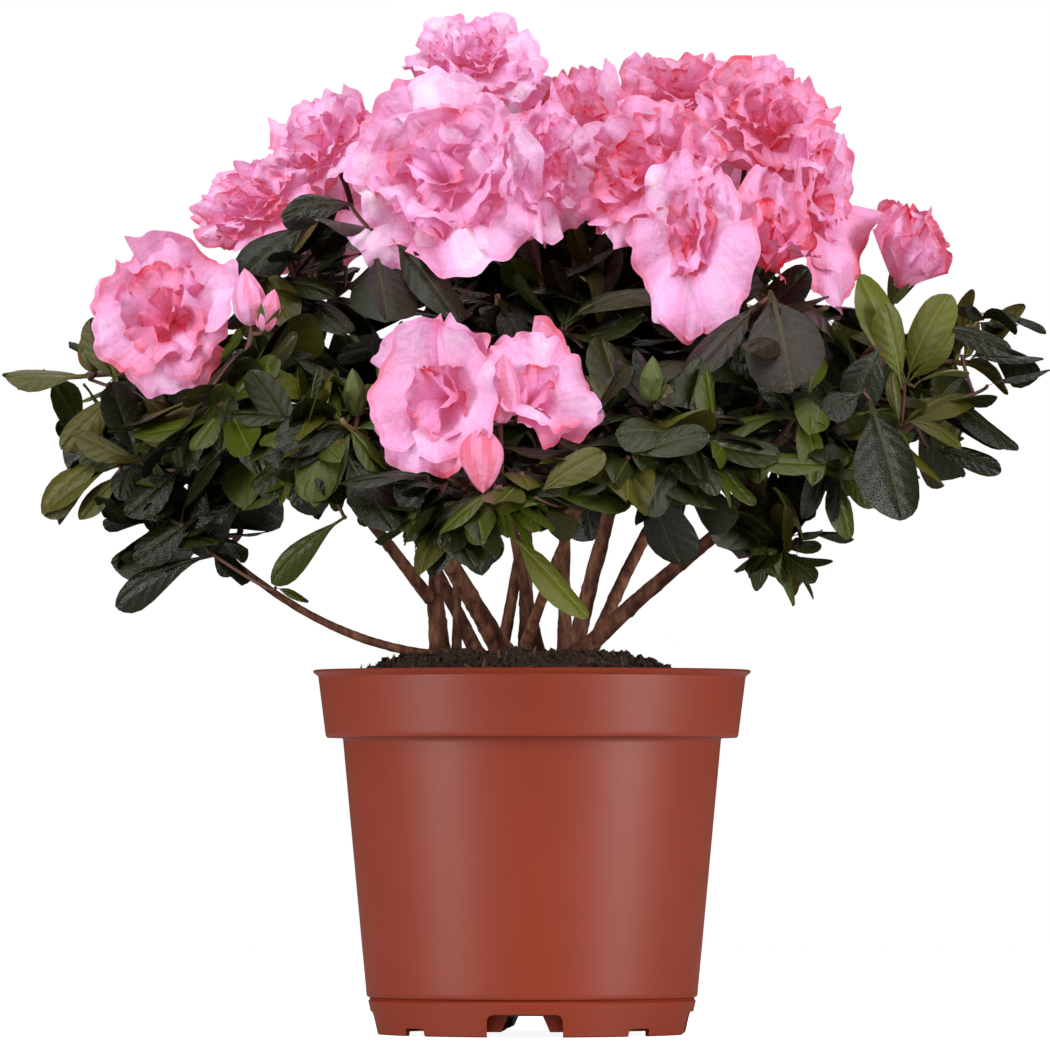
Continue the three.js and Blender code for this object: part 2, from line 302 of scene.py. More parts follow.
grainSpecs = {  # grain is the scale and detail of the noise that gives the relief and any colour stops
    "peatCompost": {"colour": (0.03, 0.017, 0.01), "roughness": 0.95, "grain": (900, 5), "relief": 0.0006,
                    "stops": [(0.3, (0.016, 0.009, 0.006)), (0.52, (0.055, 0.029, 0.018)),
                              (0.75, (0.120, 0.066, 0.040))]},
    "darkCrumb": {"colour": (0.042, 0.019, 0.010), "roughness": 0.95, "grain": (1500, 4), "relief": 0.0004},
    "brownFibre": {"colour": (0.15, 0.078, 0.040), "roughness": 0.95, "grain": (1500, 4), "relief": 0.0004},
    "stemBark": {"colour": (0.11, 0.05, 0.03), "roughness": 0.75, "grain": (420, 6), "relief": 0.0006,
                 "stretch": (1, 1, 0.35), "specular": 0.3,
                 "stops": [(0.32, (0.046, 0.017, 0.010)), (0.5, (0.150, 0.052, 0.027)),
                           (0.68, (0.275, 0.125, 0.070))]},
}
twigColours = {
    "redTwig": (0.115, 0.045, 0.028),
    "tanTwig": (0.30, 0.19, 0.085),
    "calyxGreen": (0.085, 0.105, 0.018),
    "budBrown": (0.16, 0.07, 0.02),
}
for twigName, twigColour in twigColours.items():
    grainSpecs[twigName] = {"colour": twigColour, "roughness": 0.6, "grain": (700, 3), "relief": 0.0003,
                            "stretch": (1, 1, 0.4)}


def grainFinish(name):
    spec = grainSpecs[name]
    material, nodes, links, shader = newFinish(name, spec["colour"], spec["roughness"])
    shader.inputs["Specular IOR Level"].default_value = spec.get("specular", 0.5)
    cloud = addNoise(nodes, links, *spec["grain"], spec.get("stretch"))
    if "stops" in spec:
        addColours(nodes, links, shader, cloud.outputs["Fac"], spec["stops"])
    addBump(nodes, links, shader, cloud.outputs["Fac"], spec["relief"])
    return material


def mathNode(nodes, links, operation, first, second=None):
    node = nodes.new("ShaderNodeMath")
    node.operation = operation
    for socket, value in zip(node.inputs, (first, second)):
        if isinstance(value, (int, float)):
            socket.default_value = value
        elif value is not None:
            links.new(value, socket)
    return node.outputs[0]


veinSpec = {
    "pairs": 7,
    "sweep": 1.7,  # how far a side vein leans towards the tip
    "side": 0.09,
    "groove": 0.16,
    "relief": 0.00055,
    "hair": 2600,
    "hairShare": 0.4,
    "specular": 0.42,
    "glossSpread": (-0.10, 0.16),
    "ribRoughness": 0.5,
}


def leafFinish(name, colour, roughness):  # veins follow the leaf's own map, hairs the whole plant
    spec = veinSpec
    material, nodes, links, shader = newFinish(name, colour, roughness)
    shader.inputs["Specular IOR Level"].default_value = spec["specular"]

    def calc(operation, first, second=None):
        return mathNode(nodes, links, operation, first, second)

    own = nodes.new("ShaderNodeUVMap")
    own.uv_map = "leafMap"
    parts = nodes.new("ShaderNodeSeparateXYZ")
    links.new(own.outputs["UV"], parts.inputs[0])
    fromRib = calc("ABSOLUTE", calc("SUBTRACT", parts.outputs["X"], 0.5))
    slant = calc("MULTIPLY", fromRib, 2 * spec["sweep"])
    along = calc("MULTIPLY", parts.outputs["Y"], spec["pairs"])
    phase = calc("MULTIPLY", calc("SUBTRACT", along, slant), math.tau)
    side = calc("MULTIPLY", calc("SINE", phase), spec["side"])
    groove = nodes.new("ShaderNodeMapRange")
    groove.inputs["From Max"].default_value = spec["groove"]
    links.new(fromRib, groove.inputs["Value"])
    hair = addNoise(nodes, links, spec["hair"], 4)
    relief = calc("ADD", side, groove.outputs["Result"])
    relief = calc("ADD", relief, calc("MULTIPLY", hair.outputs["Fac"], spec["hairShare"]))
    addBump(nodes, links, shader, relief, spec["relief"])
    low, high = spec["glossSpread"]
    gloss = addRange(nodes, links, hair.outputs["Fac"], roughness + low, roughness + high)
    links.new(gloss, shader.inputs["Roughness"])
    return material


petalFinishSpec = {
    "sockets": {"Specular IOR Level": 0.3, "Subsurface Weight": 0.2, "Subsurface Scale": 0.5,
                "Subsurface Radius": (0.004, 0.0016, 0.0022), "Emission Strength": 0.20},
    "roughness": 0.55,
    "glowTint": (1.0, 0.48, 0.40),  # the glow stands in for light that comes through the petals
    "crease": 420,
    "creaseDepth": 0.0008,
}


def petalFinish(name, colour):
    spec = petalFinishSpec
    material, nodes, links, shader = newFinish(name, colour, spec["roughness"])
    glow = [c * t for c, t in zip(colour, spec["glowTint"])]
    setSockets(shader, {**spec["sockets"], "Emission Color": (*glow, 1)})
    crease = addNoise(nodes, links, spec["crease"], 3)
    addBump(nodes, links, shader, crease.outputs["Fac"], spec["creaseDepth"])
    return material


potSpec = {
    "wall": 0.0013,
    "foot": 0.0469,  # radii
    "skirtTop": 0.0492,
    "bodyFoot": 0.0496,
    "bodyTop": 0.0567,
    "bandFoot": 0.0618,
    "bandTop": 0.0642,
    "lip": 0.0657,
    "skirtHeight": 0.0102,
    "bandHeight": 0.0886,
    "lipDrop": 0.0016,
    "floorUnder": 0.0063,
    "turn": -2.7,
    "sides": 224,
    "notch": (0.0225, 0.0068, 0.0022),  # width, height, corner
    "shallow": (0.0081, 0.0023, 0.0008),
    "channel": (0.0103, 0.0168),
    "pad": (0.043, 0.0015),
    "drain": (0.0035, 0.033),
    "drainCut": (0.001, 0.012),
}


def potProfile(top):
    s = potSpec
    wall = s["wall"]
    skirt, band = s["skirtHeight"], s["bandHeight"]
    lipFoot = top - s["lipDrop"]
    return [
        (0.0, s["floorUnder"]), (s["foot"] - wall, s["floorUnder"]), (s["foot"] - wall, 0.0004),
        (s["foot"] - wall + 0.0003, 0.0), (s["foot"] - 0.0003, 0.0), (s["foot"] + 0.0001, 0.0004),
        (s["skirtTop"] - 0.0001, skirt - 0.0003), (s["skirtTop"] - 0.0003, skirt),
        (s["skirtTop"] - 0.0006, skirt + 0.0002), (s["skirtTop"] - 0.0004, skirt + 0.0005),
        (s["skirtTop"] - 0.0007, skirt + 0.0008), (s["bodyFoot"] - 0.0002, skirt + 0.0010),
        (s["bodyFoot"], skirt + 0.0014), (s["bodyTop"], band - 0.0004), (s["bodyTop"] + 0.0003, band),
        (s["bandFoot"] - 0.0007, band), (s["bandFoot"] - 0.0002, band + 0.0002),
        (s["bandFoot"] + 0.0001, band + 0.0008), (s["bandTop"] - 0.0001, lipFoot - 0.0005),
        (s["bandTop"] + 0.0004, lipFoot), (s["lip"] - 0.0002, top - 0.0009), (s["lip"], top - 0.0006),
        (s["lip"] - 0.0002, top - 0.0002), (s["lip"] - 0.0008, top), (s["bandTop"] - wall, top - 0.0002),
        (s["bandTop"] - wall - 0.0004, top - 0.0010), (s["bandFoot"] - wall, band + wall + 0.0004),
        (s["bandFoot"] - wall - 0.0006, band + wall), (s["bodyTop"] - wall, band + wall / 2),
        (s["bodyTop"] - wall - 0.0004, band), (s["bodyFoot"] - 2 * wall, s["floorUnder"] + wall + 0.001),
        (s["bodyFoot"] - 3 * wall, s["floorUnder"] + wall), (0.0, s["floorUnder"] + wall),
    ]


def heldWalls(profile, hold=0.0011):  # a ring close to each end keeps a long wall evenly shaded
    held = [profile[0]]
    for start, end in zip(profile, profile[1:]):
        length = math.dist(start, end)
        if length > 4 * hold and start[0] and end[0]:
            for share in (hold / length, 1 - hold / length):
                held.append((lerp(start[0], end[0], share), lerp(start[1], end[1], share)))
        held.append(end)
    return held


def lathe(profile, sides):
    verts, faces, rings = [], [], []
    for radius, height in profile:
        if radius == 0:
            rings.append([len(verts)])
            verts.append((0, 0, height))
            continue
        rings.append(range(len(verts), len(verts) + sides))
        verts += [(x, y, height) for x, y in ringPoints(radius, sides)]
    for low, high in zip(rings, rings[1:]):
        for i in range(sides):
            j = (i + 1) % sides
            if len(low) == 1:
                faces.append((low[0], high[j], high[i]))
            elif len(high) == 1:
                faces.append((low[i], low[j], high[0]))
            else:
                faces.append((low[i], low[j], high[j], high[i]))
    return verts, faces


def prism(outline, near, far, bearing):  # an upright outline run outwards along the bearing
    turn = Matrix.Rotation(math.radians(bearing), 4, "Z")
    count = len(outline)
    verts = [turn @ Vector((x, -reach, z)) for reach in (near, far) for x, z in outline]
    faces = [tuple(range(count)), tuple(range(2 * count - 1, count - 1, -1))]
    for i in range(count):
        j = (i + 1) % count
        faces.append((j, i, count + i, count + j))
    return verts, faces


def notchOutline(width, height, corner, steps=6):
    half = width / 2
    outline = [(-half, -0.002), (half, -0.002)]
    for side in (1, -1):
        for i in range(steps + 1):
            angle = math.pi / 2 * (i if side > 0 else steps - i) / steps
            outline.append((side * (half - corner + corner * math.cos(angle)),
                            height - corner + corner * math.sin(angle)))
    return outline


def joinTools(tools):
    verts, faces = [], []
    for toolVerts, toolFaces in tools:
        start = len(verts)
        verts += toolVerts
        faces += [tuple(start + i for i in face) for face in toolFaces]
    return verts, faces


def bakedMesh(piece):
    depsgraph = bpy.context.evaluated_depsgraph_get()
    return bpy.data.meshes.new_from_object(piece.evaluated_get(depsgraph))


def cutWith(piece, tools, operation="DIFFERENCE"):
    tool = makeObject("potTool", *joinTools(tools), [])
    faceOutwards(tool)
    modifier = piece.modifiers.new("cut", "BOOLEAN")
    modifier.operation = operation
    modifier.solver = "EXACT"
    modifier.object = tool
    cut = bakedMesh(piece)
    piece.modifiers.clear()
    piece.data = cut
    bpy.data.objects.remove(tool)


def faceOutwards(piece):
    work = bmesh.new()
    work.from_mesh(piece.data)
    bmesh.ops.recalc_face_normals(work, faces=work.faces)
    work.to_mesh(piece.data)
    work.free()


def makePot():
    s = potSpec
    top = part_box("pot")[1].z
    pot = makeObject("nurseryPot", *lathe(heldWalls(potProfile(top)), s["sides"]), [potFinish()])
    padRadius, padFoot = s["pad"]
    padTop = s["floorUnder"] + s["wall"] / 2
    topWidth, footWidth = s["channel"]
    channel = [(-footWidth / 2, -0.001), (footWidth / 2, -0.001),
               (topWidth / 2, s["floorUnder"]), (-topWidth / 2, s["floorUnder"])]
    padProfile = [(0, padFoot), (padRadius, padFoot), (padRadius, padTop), (0, padTop)]
    pads = makeObject("footPads", *lathe(padProfile, s["sides"]), [])
    near, far = padRadius + 0.001, s["skirtTop"] + 0.004  # the notches cut the skirt only
    channels, notches = [], []
    for quarter in range(4):
        bearing = s["turn"] + 90 * quarter
        channels.append(prism(channel, 0.0, s["skirtTop"], bearing))
        notches.append(prism(notchOutline(*s["notch"]), near, far, bearing))
        notches.append(prism(notchOutline(*s["shallow"]), near, far, bearing + 45))
    for one in channels:
        cutWith(pads, [one])
    cutWith(pot, notches)
    padMesh = ([v.co.copy() for v in pads.data.vertices], [tuple(p.vertices) for p in pads.data.polygons])
    cutWith(pot, [padMesh], "UNION")
    bpy.data.objects.remove(pads)
    radius, reach = s["drain"]
    low, high = s["drainCut"]
    places = [(0.0, 0.0)]
    for quarter in range(4):
        angle = math.radians(s["turn"] + 90 * quarter)
        places.append((reach * math.cos(angle), reach * math.sin(angle)))
    drains = []
    for x, y in places:
        verts, faces = lathe([(0, low), (radius, low), (radius, high), (0, high)], 32)
        drains.append(([(vx + x, vy + y, vz) for vx, vy, vz in verts], faces))
    cutWith(pot, drains)
    for polygon in pot.data.polygons:
        polygon.use_smooth = True
    pot.data.set_sharp_from_angle(angle=math.radians(32))
    finishPiece(pot, "pot_plastic", "pot")


compostSpec = {
    "rings": 46,
    "sides": 150,
    "levelRadius": 0.036,  # the mound is level this far out, then falls by edgeDrop to the wall
    "edgeDrop": 0.008,
    "relief": 0.0022,
    "reliefScale": 95,
    "rightDip": 0.0040,  # the peat has sunk a little on the right, between these two X
    "dipFrom": (0.022, 0.042),
    "wallGap": 0.0006,
    "shoulder": (0.0010, 0.095),  # how far in from the wall, and the height
    "waist": (0.0545, 0.0886),
    "foot": (0.0465, 0.0455, 0.0012),  # its two radii and the height between them
    "crumbDensity": 190000,  # to the square metre
    "crumbSize": (0.5, 1.5),
    "crumbRadius": 0.0011,
    "fibreDensity": 24000,
    "fibreRadius": 0.0005,
    "fibreStretch": 3.6,
    "seed": 4,
}


def moundHeight(x, y, level, edgeRadius):
    spec = compostSpec
    radius = math.hypot(x, y)
    height = lerp(level, level - spec["edgeDrop"], smooth(spec["levelRadius"], edgeRadius, radius))
    height -= spec["rightDip"] * smooth(*spec["dipFrom"], x)
    relief = spec["relief"] * (1 - smooth(edgeRadius * 0.9, edgeRadius, radius) * 0.7)
    place = Vector((x, y, 0)) * spec["reliefScale"]
    rough = noise.noise(place) + 0.6 * noise.noise(place * 2.7) + 0.35 * noise.noise(place * 6.1)
    return height + relief * rough


def crumbShape(name, seed, size, material, long=1.0):
    rng = random.Random(seed)
    t = (1 + math.sqrt(5)) / 2
    corners = [(-1, t, 0), (1, t, 0), (-1, -t, 0), (1, -t, 0), (0, -1, t), (0, 1, t),
               (0, -1, -t), (0, 1, -t), (t, 0, -1), (t, 0, 1), (-t, 0, -1), (-t, 0, 1)]
    faces = [(0, 11, 5), (0, 5, 1), (0, 1, 7), (0, 7, 10), (0, 10, 11), (1, 5, 9), (5, 11, 4),
             (11, 10, 2), (10, 7, 6), (7, 1, 8), (3, 9, 4), (3, 4, 2), (3, 2, 6), (3, 6, 8),
             (3, 8, 9), (4, 9, 5), (2, 4, 11), (6, 2, 10), (8, 6, 7), (9, 8, 1)]
    verts = [Vector((x * long, y, z)).normalized() * size * rng.uniform(0.6, 1.25) for x, y, z in corners]
    verts = [Vector((v.x * long, v.y, v.z * 0.8)) for v in verts]
    return makeObject(name, verts, faces, [material], smoothShade=False)


def scatterTree(name, inputs):
    tree = bpy.data.node_groups.new(name, "GeometryNodeTree")
    tree.is_modifier = True
    tree.interface.new_socket("Geometry", in_out="INPUT", socket_type="NodeSocketGeometry")
    for label, kind in inputs:
        tree.interface.new_socket(label, in_out="INPUT", socket_type=kind)
    tree.interface.new_socket("Geometry", in_out="OUTPUT", socket_type="NodeSocketGeometry")
    start = tree.nodes.new("NodeGroupInput")
    end = tree.nodes.new("NodeGroupOutput")
    return tree, start, end


def pickAndPlace(nodes):
    pick = nodes.new("GeometryNodeCollectionInfo")
    pick.inputs["Separate Children"].default_value = True
    pick.inputs["Reset Children"].default_value = True
    place = nodes.new("GeometryNodeInstanceOnPoints")
    place.inputs["Pick Instance"].default_value = True
    return pick, place, nodes.new("GeometryNodeRealizeInstances")


def wireUp(tree, *wires):
    for source, output, target, socket in wires:
        tree.links.new(source.outputs[output], target.inputs[socket])


def setInputs(modifier, values):
    items = modifier.node_group.interface.items_tree
    sockets = {item.name: item.identifier for item in items if item.in_out == "INPUT"}
    for label, value in values.items():
        modifier[sockets[label]] = value


def crumbTree():
    tree, start, end = scatterTree("compostCrumbs", [
        ("Crumbs", "NodeSocketCollection"), ("Density", "NodeSocketFloat"), ("Smallest", "NodeSocketFloat"),
        ("Largest", "NodeSocketFloat"), ("Seed", "NodeSocketInt"), ("Finish", "NodeSocketMaterial")])
    nodes = tree.nodes
    spread = nodes.new("GeometryNodeDistributePointsOnFaces")
    pick, place, real = pickAndPlace(nodes)
    turn = nodes.new("FunctionNodeRandomValue")
    turn.data_type = "FLOAT_VECTOR"
    turn.inputs[1].default_value = (math.tau, math.tau, math.tau)
    grow = nodes.new("FunctionNodeRandomValue")
    finish = nodes.new("GeometryNodeSetMaterial")
    wireUp(
        tree,
        (start, "Geometry", spread, "Mesh"),
        (start, "Density", spread, "Density"),
        (start, "Seed", spread, "Seed"),
        (start, "Crumbs", pick, "Collection"),
        (spread, "Points", place, "Points"),
        (pick, "Instances", place, "Instance"),
        (turn, 0, place, "Rotation"),
        (start, "Smallest", grow, 2),
        (start, "Largest", grow, 3),
        (start, "Seed", grow, "Seed"),
        (grow, 1, place, "Scale"),
        (place, "Instances", real, "Geometry"),
        (real, "Geometry", finish, "Geometry"),
        (start, "Finish", finish, "Material"),
        (finish, "Geometry", end, "Geometry"))
    return tree


def gatherShapes(name, shapes):
    group = bpy.data.collections.new(name)
    for shape in shapes:
        scene.collection.objects.unlink(shape)
        group.objects.link(shape)
    return group


def dropShapes(group):
    for shape in list(group.objects):
        bpy.data.objects.remove(shape)
    bpy.data.collections.remove(group)


def scatterOn(name, base, tree, values):
    modifier = base.modifiers.new(name, "NODES")
    modifier.node_group = tree
    setInputs(modifier, values)
    mesh = bakedMesh(base)
    base.modifiers.clear()
    piece = bpy.data.objects.new(name, mesh)
    scene.collection.objects.link(piece)
    return piece


def makeCompost():
    s = compostSpec
    low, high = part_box("compost")
    level, edgeRadius = high.z, high.x - s["wallGap"]
    sides, rings = s["sides"], s["rings"]
    spots = [(0, 0)]
    for ring in range(1, rings + 1):
        spots += ringPoints(edgeRadius * ring / rings, sides)
    verts, faces = [(x, y, moundHeight(x, y, level, edgeRadius)) for x, y in spots], []
    for i in range(sides):
        faces.append((0, 1 + i, 1 + (i + 1) % sides))
    for ring in range(rings - 1):
        first = 1 + ring * sides
        for i in range(sides):
            j = (i + 1) % sides
            faces.append((first + i, first + sides + i, first + sides + j, first + j))
    topOnly = makeObject("moundTop", verts, faces, [])
    inset, shoulder = s["shoulder"]
    wide, narrow, bevel = s["foot"]
    wallRings = [(edgeRadius - inset, shoulder), s["waist"], (wide, low.z + bevel), (narrow, low.z)]
    outer = 1 + (rings - 1) * sides
    for radius, height in wallRings:
        start = len(verts)
        verts += [(x, y, height) for x, y in ringPoints(radius, sides)]
        for i in range(sides):
            j = (i + 1) % sides
            faces.append((outer + i, start + i, start + j, outer + j))
        outer = start
    verts.append((0, 0, low.z))
    faces += [(outer + i, len(verts) - 1, outer + (i + 1) % sides) for i in range(sides)]
    mound = makeObject("compostMound", verts, faces, [grainFinish("peatCompost")])
    finishPiece(mound, "compost", "compost")

    dark = grainFinish("darkCrumb")
    brown = grainFinish("brownFibre")
    tree = crumbTree()
    crumbs = gatherShapes("crumbShapes", [
        crumbShape("crumb%d" % i, 30 + i, s["crumbRadius"], dark) for i in range(4)])
    fibres = gatherShapes("fibreShapes", [
        crumbShape("fibre%d" % i, 50 + i, s["fibreRadius"], brown, s["fibreStretch"]) for i in range(3)])
    sizes = {"Smallest": s["crumbSize"][0], "Largest": s["crumbSize"][1]}
    crumbPiece = scatterOn("compostCrumbs", topOnly, tree, {
        "Crumbs": crumbs, "Density": s["crumbDensity"], "Seed": s["seed"], "Finish": dark, **sizes})
    fibrePiece = scatterOn("compostFibres", topOnly, tree, {
        "Crumbs": fibres, "Density": s["fibreDensity"], "Seed": s["seed"] + 1, "Finish": brown, **sizes})
    finishPiece(crumbPiece, "compost")
    finishPiece(fibrePiece, "compost")
    bpy.data.objects.remove(topOnly)
    dropShapes(crumbs)
    dropShapes(fibres)


stemSpecs = table("lean thick thin bow into", {  # lean: which way the tip lies from the foot along X and Y
    "bough_left_low": ((-1, -1), 0.0030, 0.0020, -0.007, "foliage_left_under"),
    "stem_left": ((-1, 0), 0.0058, 0.0050, 0.0, None),
    "stem_left_thin": ((0, 1), 0.0028, 0.0022, 0.0, "foliage_left_upper"),
    "stem_centre": ((-1, -1), 0.0060, 0.0040, 0.003, "foliage_left_front"),
    "stem_centre_short": ((1, 1), 0.0038, 0.0026, 0.0, "foliage_heart"),
    "stem_centre_front": ((1, -1), 0.0034, 0.0026, 0.002, "foliage_front"),
    "stem_centre_back": ((-1, -1), 0.0034, 0.0026, 0.0, None),
    "stem_right_upright": ((0, 1), 0.0040, 0.0032, 0.0, "foliage_back_upper"),
    "stem_right": ((1, -1), 0.0050, 0.0036, 0.0, "foliage_right_upper"),
    "bough_right": ((1, -1), 0.0054, 0.0036, 0.001, "foliage_right_low"),
    "stem_back_left": ((-1, 1), 0.0042, 0.0032, 0.003, "foliage_back_left"),
    "stem_back": ((0, 1), 0.0046, 0.0034, 0.003, "foliage_back"),
    "stem_back_right": ((1, 1), 0.0042, 0.0032, 0.003, "foliage_back_right"),
    "branch_left_outer": ((-1, -1), 0.0038, 0.0030, 0.0, "foliage_left_middle"),
    "branch_left_inner": ((1, 1), 0.0042, 0.0034, 0.0, "foliage_heart"),
})

barkSpec = {
    "sides": 12,
    "ring": 0.0013,
    "rootedBelow": 0.12,  # a limb that starts lower than this stands in the compost
    "sunk": 0.003,
    "flare": 0.45,
    "flareLength": 0.005,
    "ridge": 0.12,
    "fine": 0.09,
    "knot": 0.13,
    "knotEvery": 0.011,
    "knotWidth": 0.0016,
}


def isRooted(foot):
    return foot.z < cadBounds[0][2] + barkSpec["rootedBelow"]


def corner(low, high, lean, inset):
    if lean < 0:
        return low + inset
    if lean > 0:
        return high - inset
    return (low + high) / 2


def stemLine(node, spec):
    low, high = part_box(node)
    footInset = spec["thick"] / 2 * (1 + (barkSpec["flare"] if isRooted(low) else 0))
    tipInset = spec["thin"] / 2
    leanX, leanY = spec["lean"]
    foot = Vector((corner(low.x, high.x, -leanX, footInset),
                   corner(low.y, high.y, -leanY, footInset), low.z))
    tip = Vector((corner(low.x, high.x, leanX, tipInset),
                  corner(low.y, high.y, leanY, tipInset), high.z))
    bend = (foot + tip) / 2 + up * 2 * spec["bow"]
    return foot, bend, tip


def skinRings(shape, first, rings, sides, slotOf):  # faces between the rings of points, and over both ends
    faces, slots = shape["faces"], shape["slots"]
    for i in range(rings):
        for k in range(sides):
            a = first + i * sides + k
            b = first + i * sides + (k + 1) % sides
            faces.append((a, b, b + sides, a + sides))
            slots.append(slotOf(i, k))
    last = first + rings * sides
    faces += [tuple(range(last, last + sides)), tuple(range(first + sides - 1, first - 1, -1))]
    slots += [slotOf(rings, 0), slotOf(0, 0)]


def addTube(shape, points, radii, sides, slot=0, relief=None):
    verts = shape["verts"]
    ahead = (points[1] - points[0]).normalized()
    side = anyAcross(ahead)
    first = len(verts)
    for i, point in enumerate(points):
        ahead = (points[min(i + 1, len(points) - 1)] - points[max(i - 1, 0)]).normalized()
        side = (side - ahead * side.dot(ahead)).normalized()
        over = ahead.cross(side)
        for k in range(sides):
            out = spoke(side, over, math.tau * k / sides)
            radius = radii[i]
            if relief:
                radius *= relief(point, out, i)
            verts.append(point + out * radius)
    skinRings(shape, first, len(points) - 1, sides, lambda i, k: slot)


def newShape():
    return {"verts": [], "faces": [], "slots": []}


def barkRelief(point, out, ring):
    spec = barkSpec
    place = point * 1000  # in millimetres
    ridges = noise.noise(Vector((out.x * 2.6, out.y * 2.6, place.z * 0.16 + ring * 0.01)))
    fine = noise.noise(place * 1.3 + out * 1.5)
    knot = math.exp(-((ring * spec["ring"]) % spec["knotEvery"] / spec["knotWidth"]) ** 2)
    swelling = max(0.0, noise.noise(out * 3 + place * 0.1) + 0.3)
    return 1 + spec["ridge"] * ridges + spec["fine"] * fine + spec["knot"] * knot * swelling


def makeStems():
    shape = newShape()
    ends = {}
    for node, spec in stemSpecs.items():
        foot, bend, tip = stemLine(node, spec)
        rooted = isRooted(foot)
        length = (tip - foot).length
        steps = max(6, round(length / barkSpec["ring"]))
        points = curvePoints(foot, bend, tip, steps)
        if rooted:  # the foot goes a little way into the compost
            points.insert(0, foot - (points[1] - points[0]).normalized() * barkSpec["sunk"])
        radii = []
        for i in range(len(points)):
            share = i / (len(points) - 1)
            flare = 1
            if rooted:
                flare += barkSpec["flare"] * math.exp(-share * length / barkSpec["flareLength"])
            radii.append(lerp(spec["thick"], spec["thin"], share) / 2 * flare)
        addTube(shape, points, radii, barkSpec["sides"], relief=barkRelief)
        ends[node] = {"point": tip, "ahead": (tip - bend).normalized(), "radius": spec["thin"] / 2}
    stems = makeObject("stemWood", shape["verts"], shape["faces"], [grainFinish("stemBark")])
    finishPiece(stems, "bark", *stemSpecs)
    return ends


# Boughs run on from the stems to a hub in each mass of foliage, and shoots branch off them.
growthSpec = {
    "seed": 11,
    "towardsHeart": 0.16,  # how far a hub lies from the middle of its clump towards the plant's heart
    "boughBend": 0.45,
    "overlap": 0.001,
    "shootsPerLitre": 40,  # for the box of a clump
    "fewestShoots": 5,
    "mostShoots": 11,
    "hubDrop": 0.22,
    "reach": (0.30, 0.72),  # where a shoot ends, as a share of the clump's half size
    "boughRadius": 0.0013,
    "twigRadius": 0.0008,
    "twigStep": 0.004,
    "sway": 0.002,
    "redShare": 0.7,
    "axisMix": (0.7, 0.5, 0.55),  # how far a tip follows its own way, the way out of the plant, and up
    "bends": (0.35, 0.30),
    "taper": 0.88,
    "forkWeights": (0.45, 0.3),
    "ownCounts": {  # open at the tips of the low boughs, close in the middle
        "foliage_left_tip": 2, "foliage_left_low": 3, "foliage_right_tip": 2, "foliage_right_low": 3,
        "foliage_heart": 20, "foliage_front": 14, "foliage_left_front": 14, "foliage_right_front": 14,
        "foliage_back": 14, "foliage_back_upper": 14,
    },
}

heart = Vector((0, 0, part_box("foliage_heart")[0].z))


def sphereDirection(index, count, rng):
    z = 1 - 2 * (index + 0.5) / count
    angle = index * math.pi * (3 - math.sqrt(5)) + rng.uniform(-0.4, 0.4)
    flat = math.sqrt(1 - z * z)
    return Vector((flat * math.cos(angle), flat * math.sin(angle), z))


def growHubs(ends, shape):
    hubs = {}
    joined = [(end["point"], end["ahead"], end["radius"]) for end in ends.values()]
    waiting = list(foliageNodes)
    wanted = {spec["into"]: ends[node] for node, spec in stemSpecs.items() if spec["into"]}
    for node in foliageNodes:
        centre, half = clumpBoxes[node]
        hubs[node] = centre.lerp(heart, growthSpec["towardsHeart"]) - up * half.z * growthSpec["hubDrop"]
    while waiting:
        ready = [n for n in waiting if n in wanted] or waiting
        node = min(ready, key=lambda n: min((hubs[n] - p).length for p, _, _ in joined))
        if node in wanted:
            end = wanted[node]
            start, ahead, radius = end["point"], end["ahead"], end["radius"]
        else:
            start, ahead, radius = min(joined, key=lambda j: (hubs[node] - j[0]).length)
        gap = (hubs[node] - start).length
        bend = start + ahead * gap * growthSpec["boughBend"]
        points = curvePoints(start - ahead * growthSpec["overlap"], bend, hubs[node], 10)
        thin = min(radius, growthSpec["boughRadius"])
        addTube(shape, points, [lerp(radius, thin, i / 10) for i in range(11)], 8)
        ahead = (hubs[node] - bend).normalized()
        joined.append((hubs[node], ahead, thin))
        ends[node] = {"point": hubs[node], "ahead": ahead, "radius": thin}
        waiting.remove(node)
    return {node: ends[node] for node in foliageNodes}


def shootTips(node, rng):
    centre, half = clumpBoxes[node]
    litres = 8 * half.x * half.y * half.z * 1000
    count = round(growthSpec["shootsPerLitre"] * litres)
    count = min(growthSpec["mostShoots"], max(growthSpec["fewestShoots"], count))
    count = growthSpec["ownCounts"].get(node, count)
    outward = (centre - heart).normalized()
    own, out, rise = growthSpec["axisMix"]
    tips = []
    index = 0
    while len(tips) < count:
        way = sphereDirection(index % (2 * count), 2 * count, rng)
        index += 1
        if way.dot(outward) < -0.15 and way.z < 0.3 and index < 6 * count:
            continue
        share = rng.uniform(*growthSpec["reach"])
        tip = centre + Vector((way.x * half.x, way.y * half.y, way.z * half.z)) * share
        axis = (way * own + outward * out + up * rise).normalized()
        tips.append((tip, axis))
    return tips


def forkCost(place, ahead, tip, hub):  # least for a near fork, close to the hub, that points at the tip
    gap = tip - place
    fromHub, turned = growthSpec["forkWeights"]
    return gap.length + fromHub * (place - hub).length - turned * gap.dot(ahead)


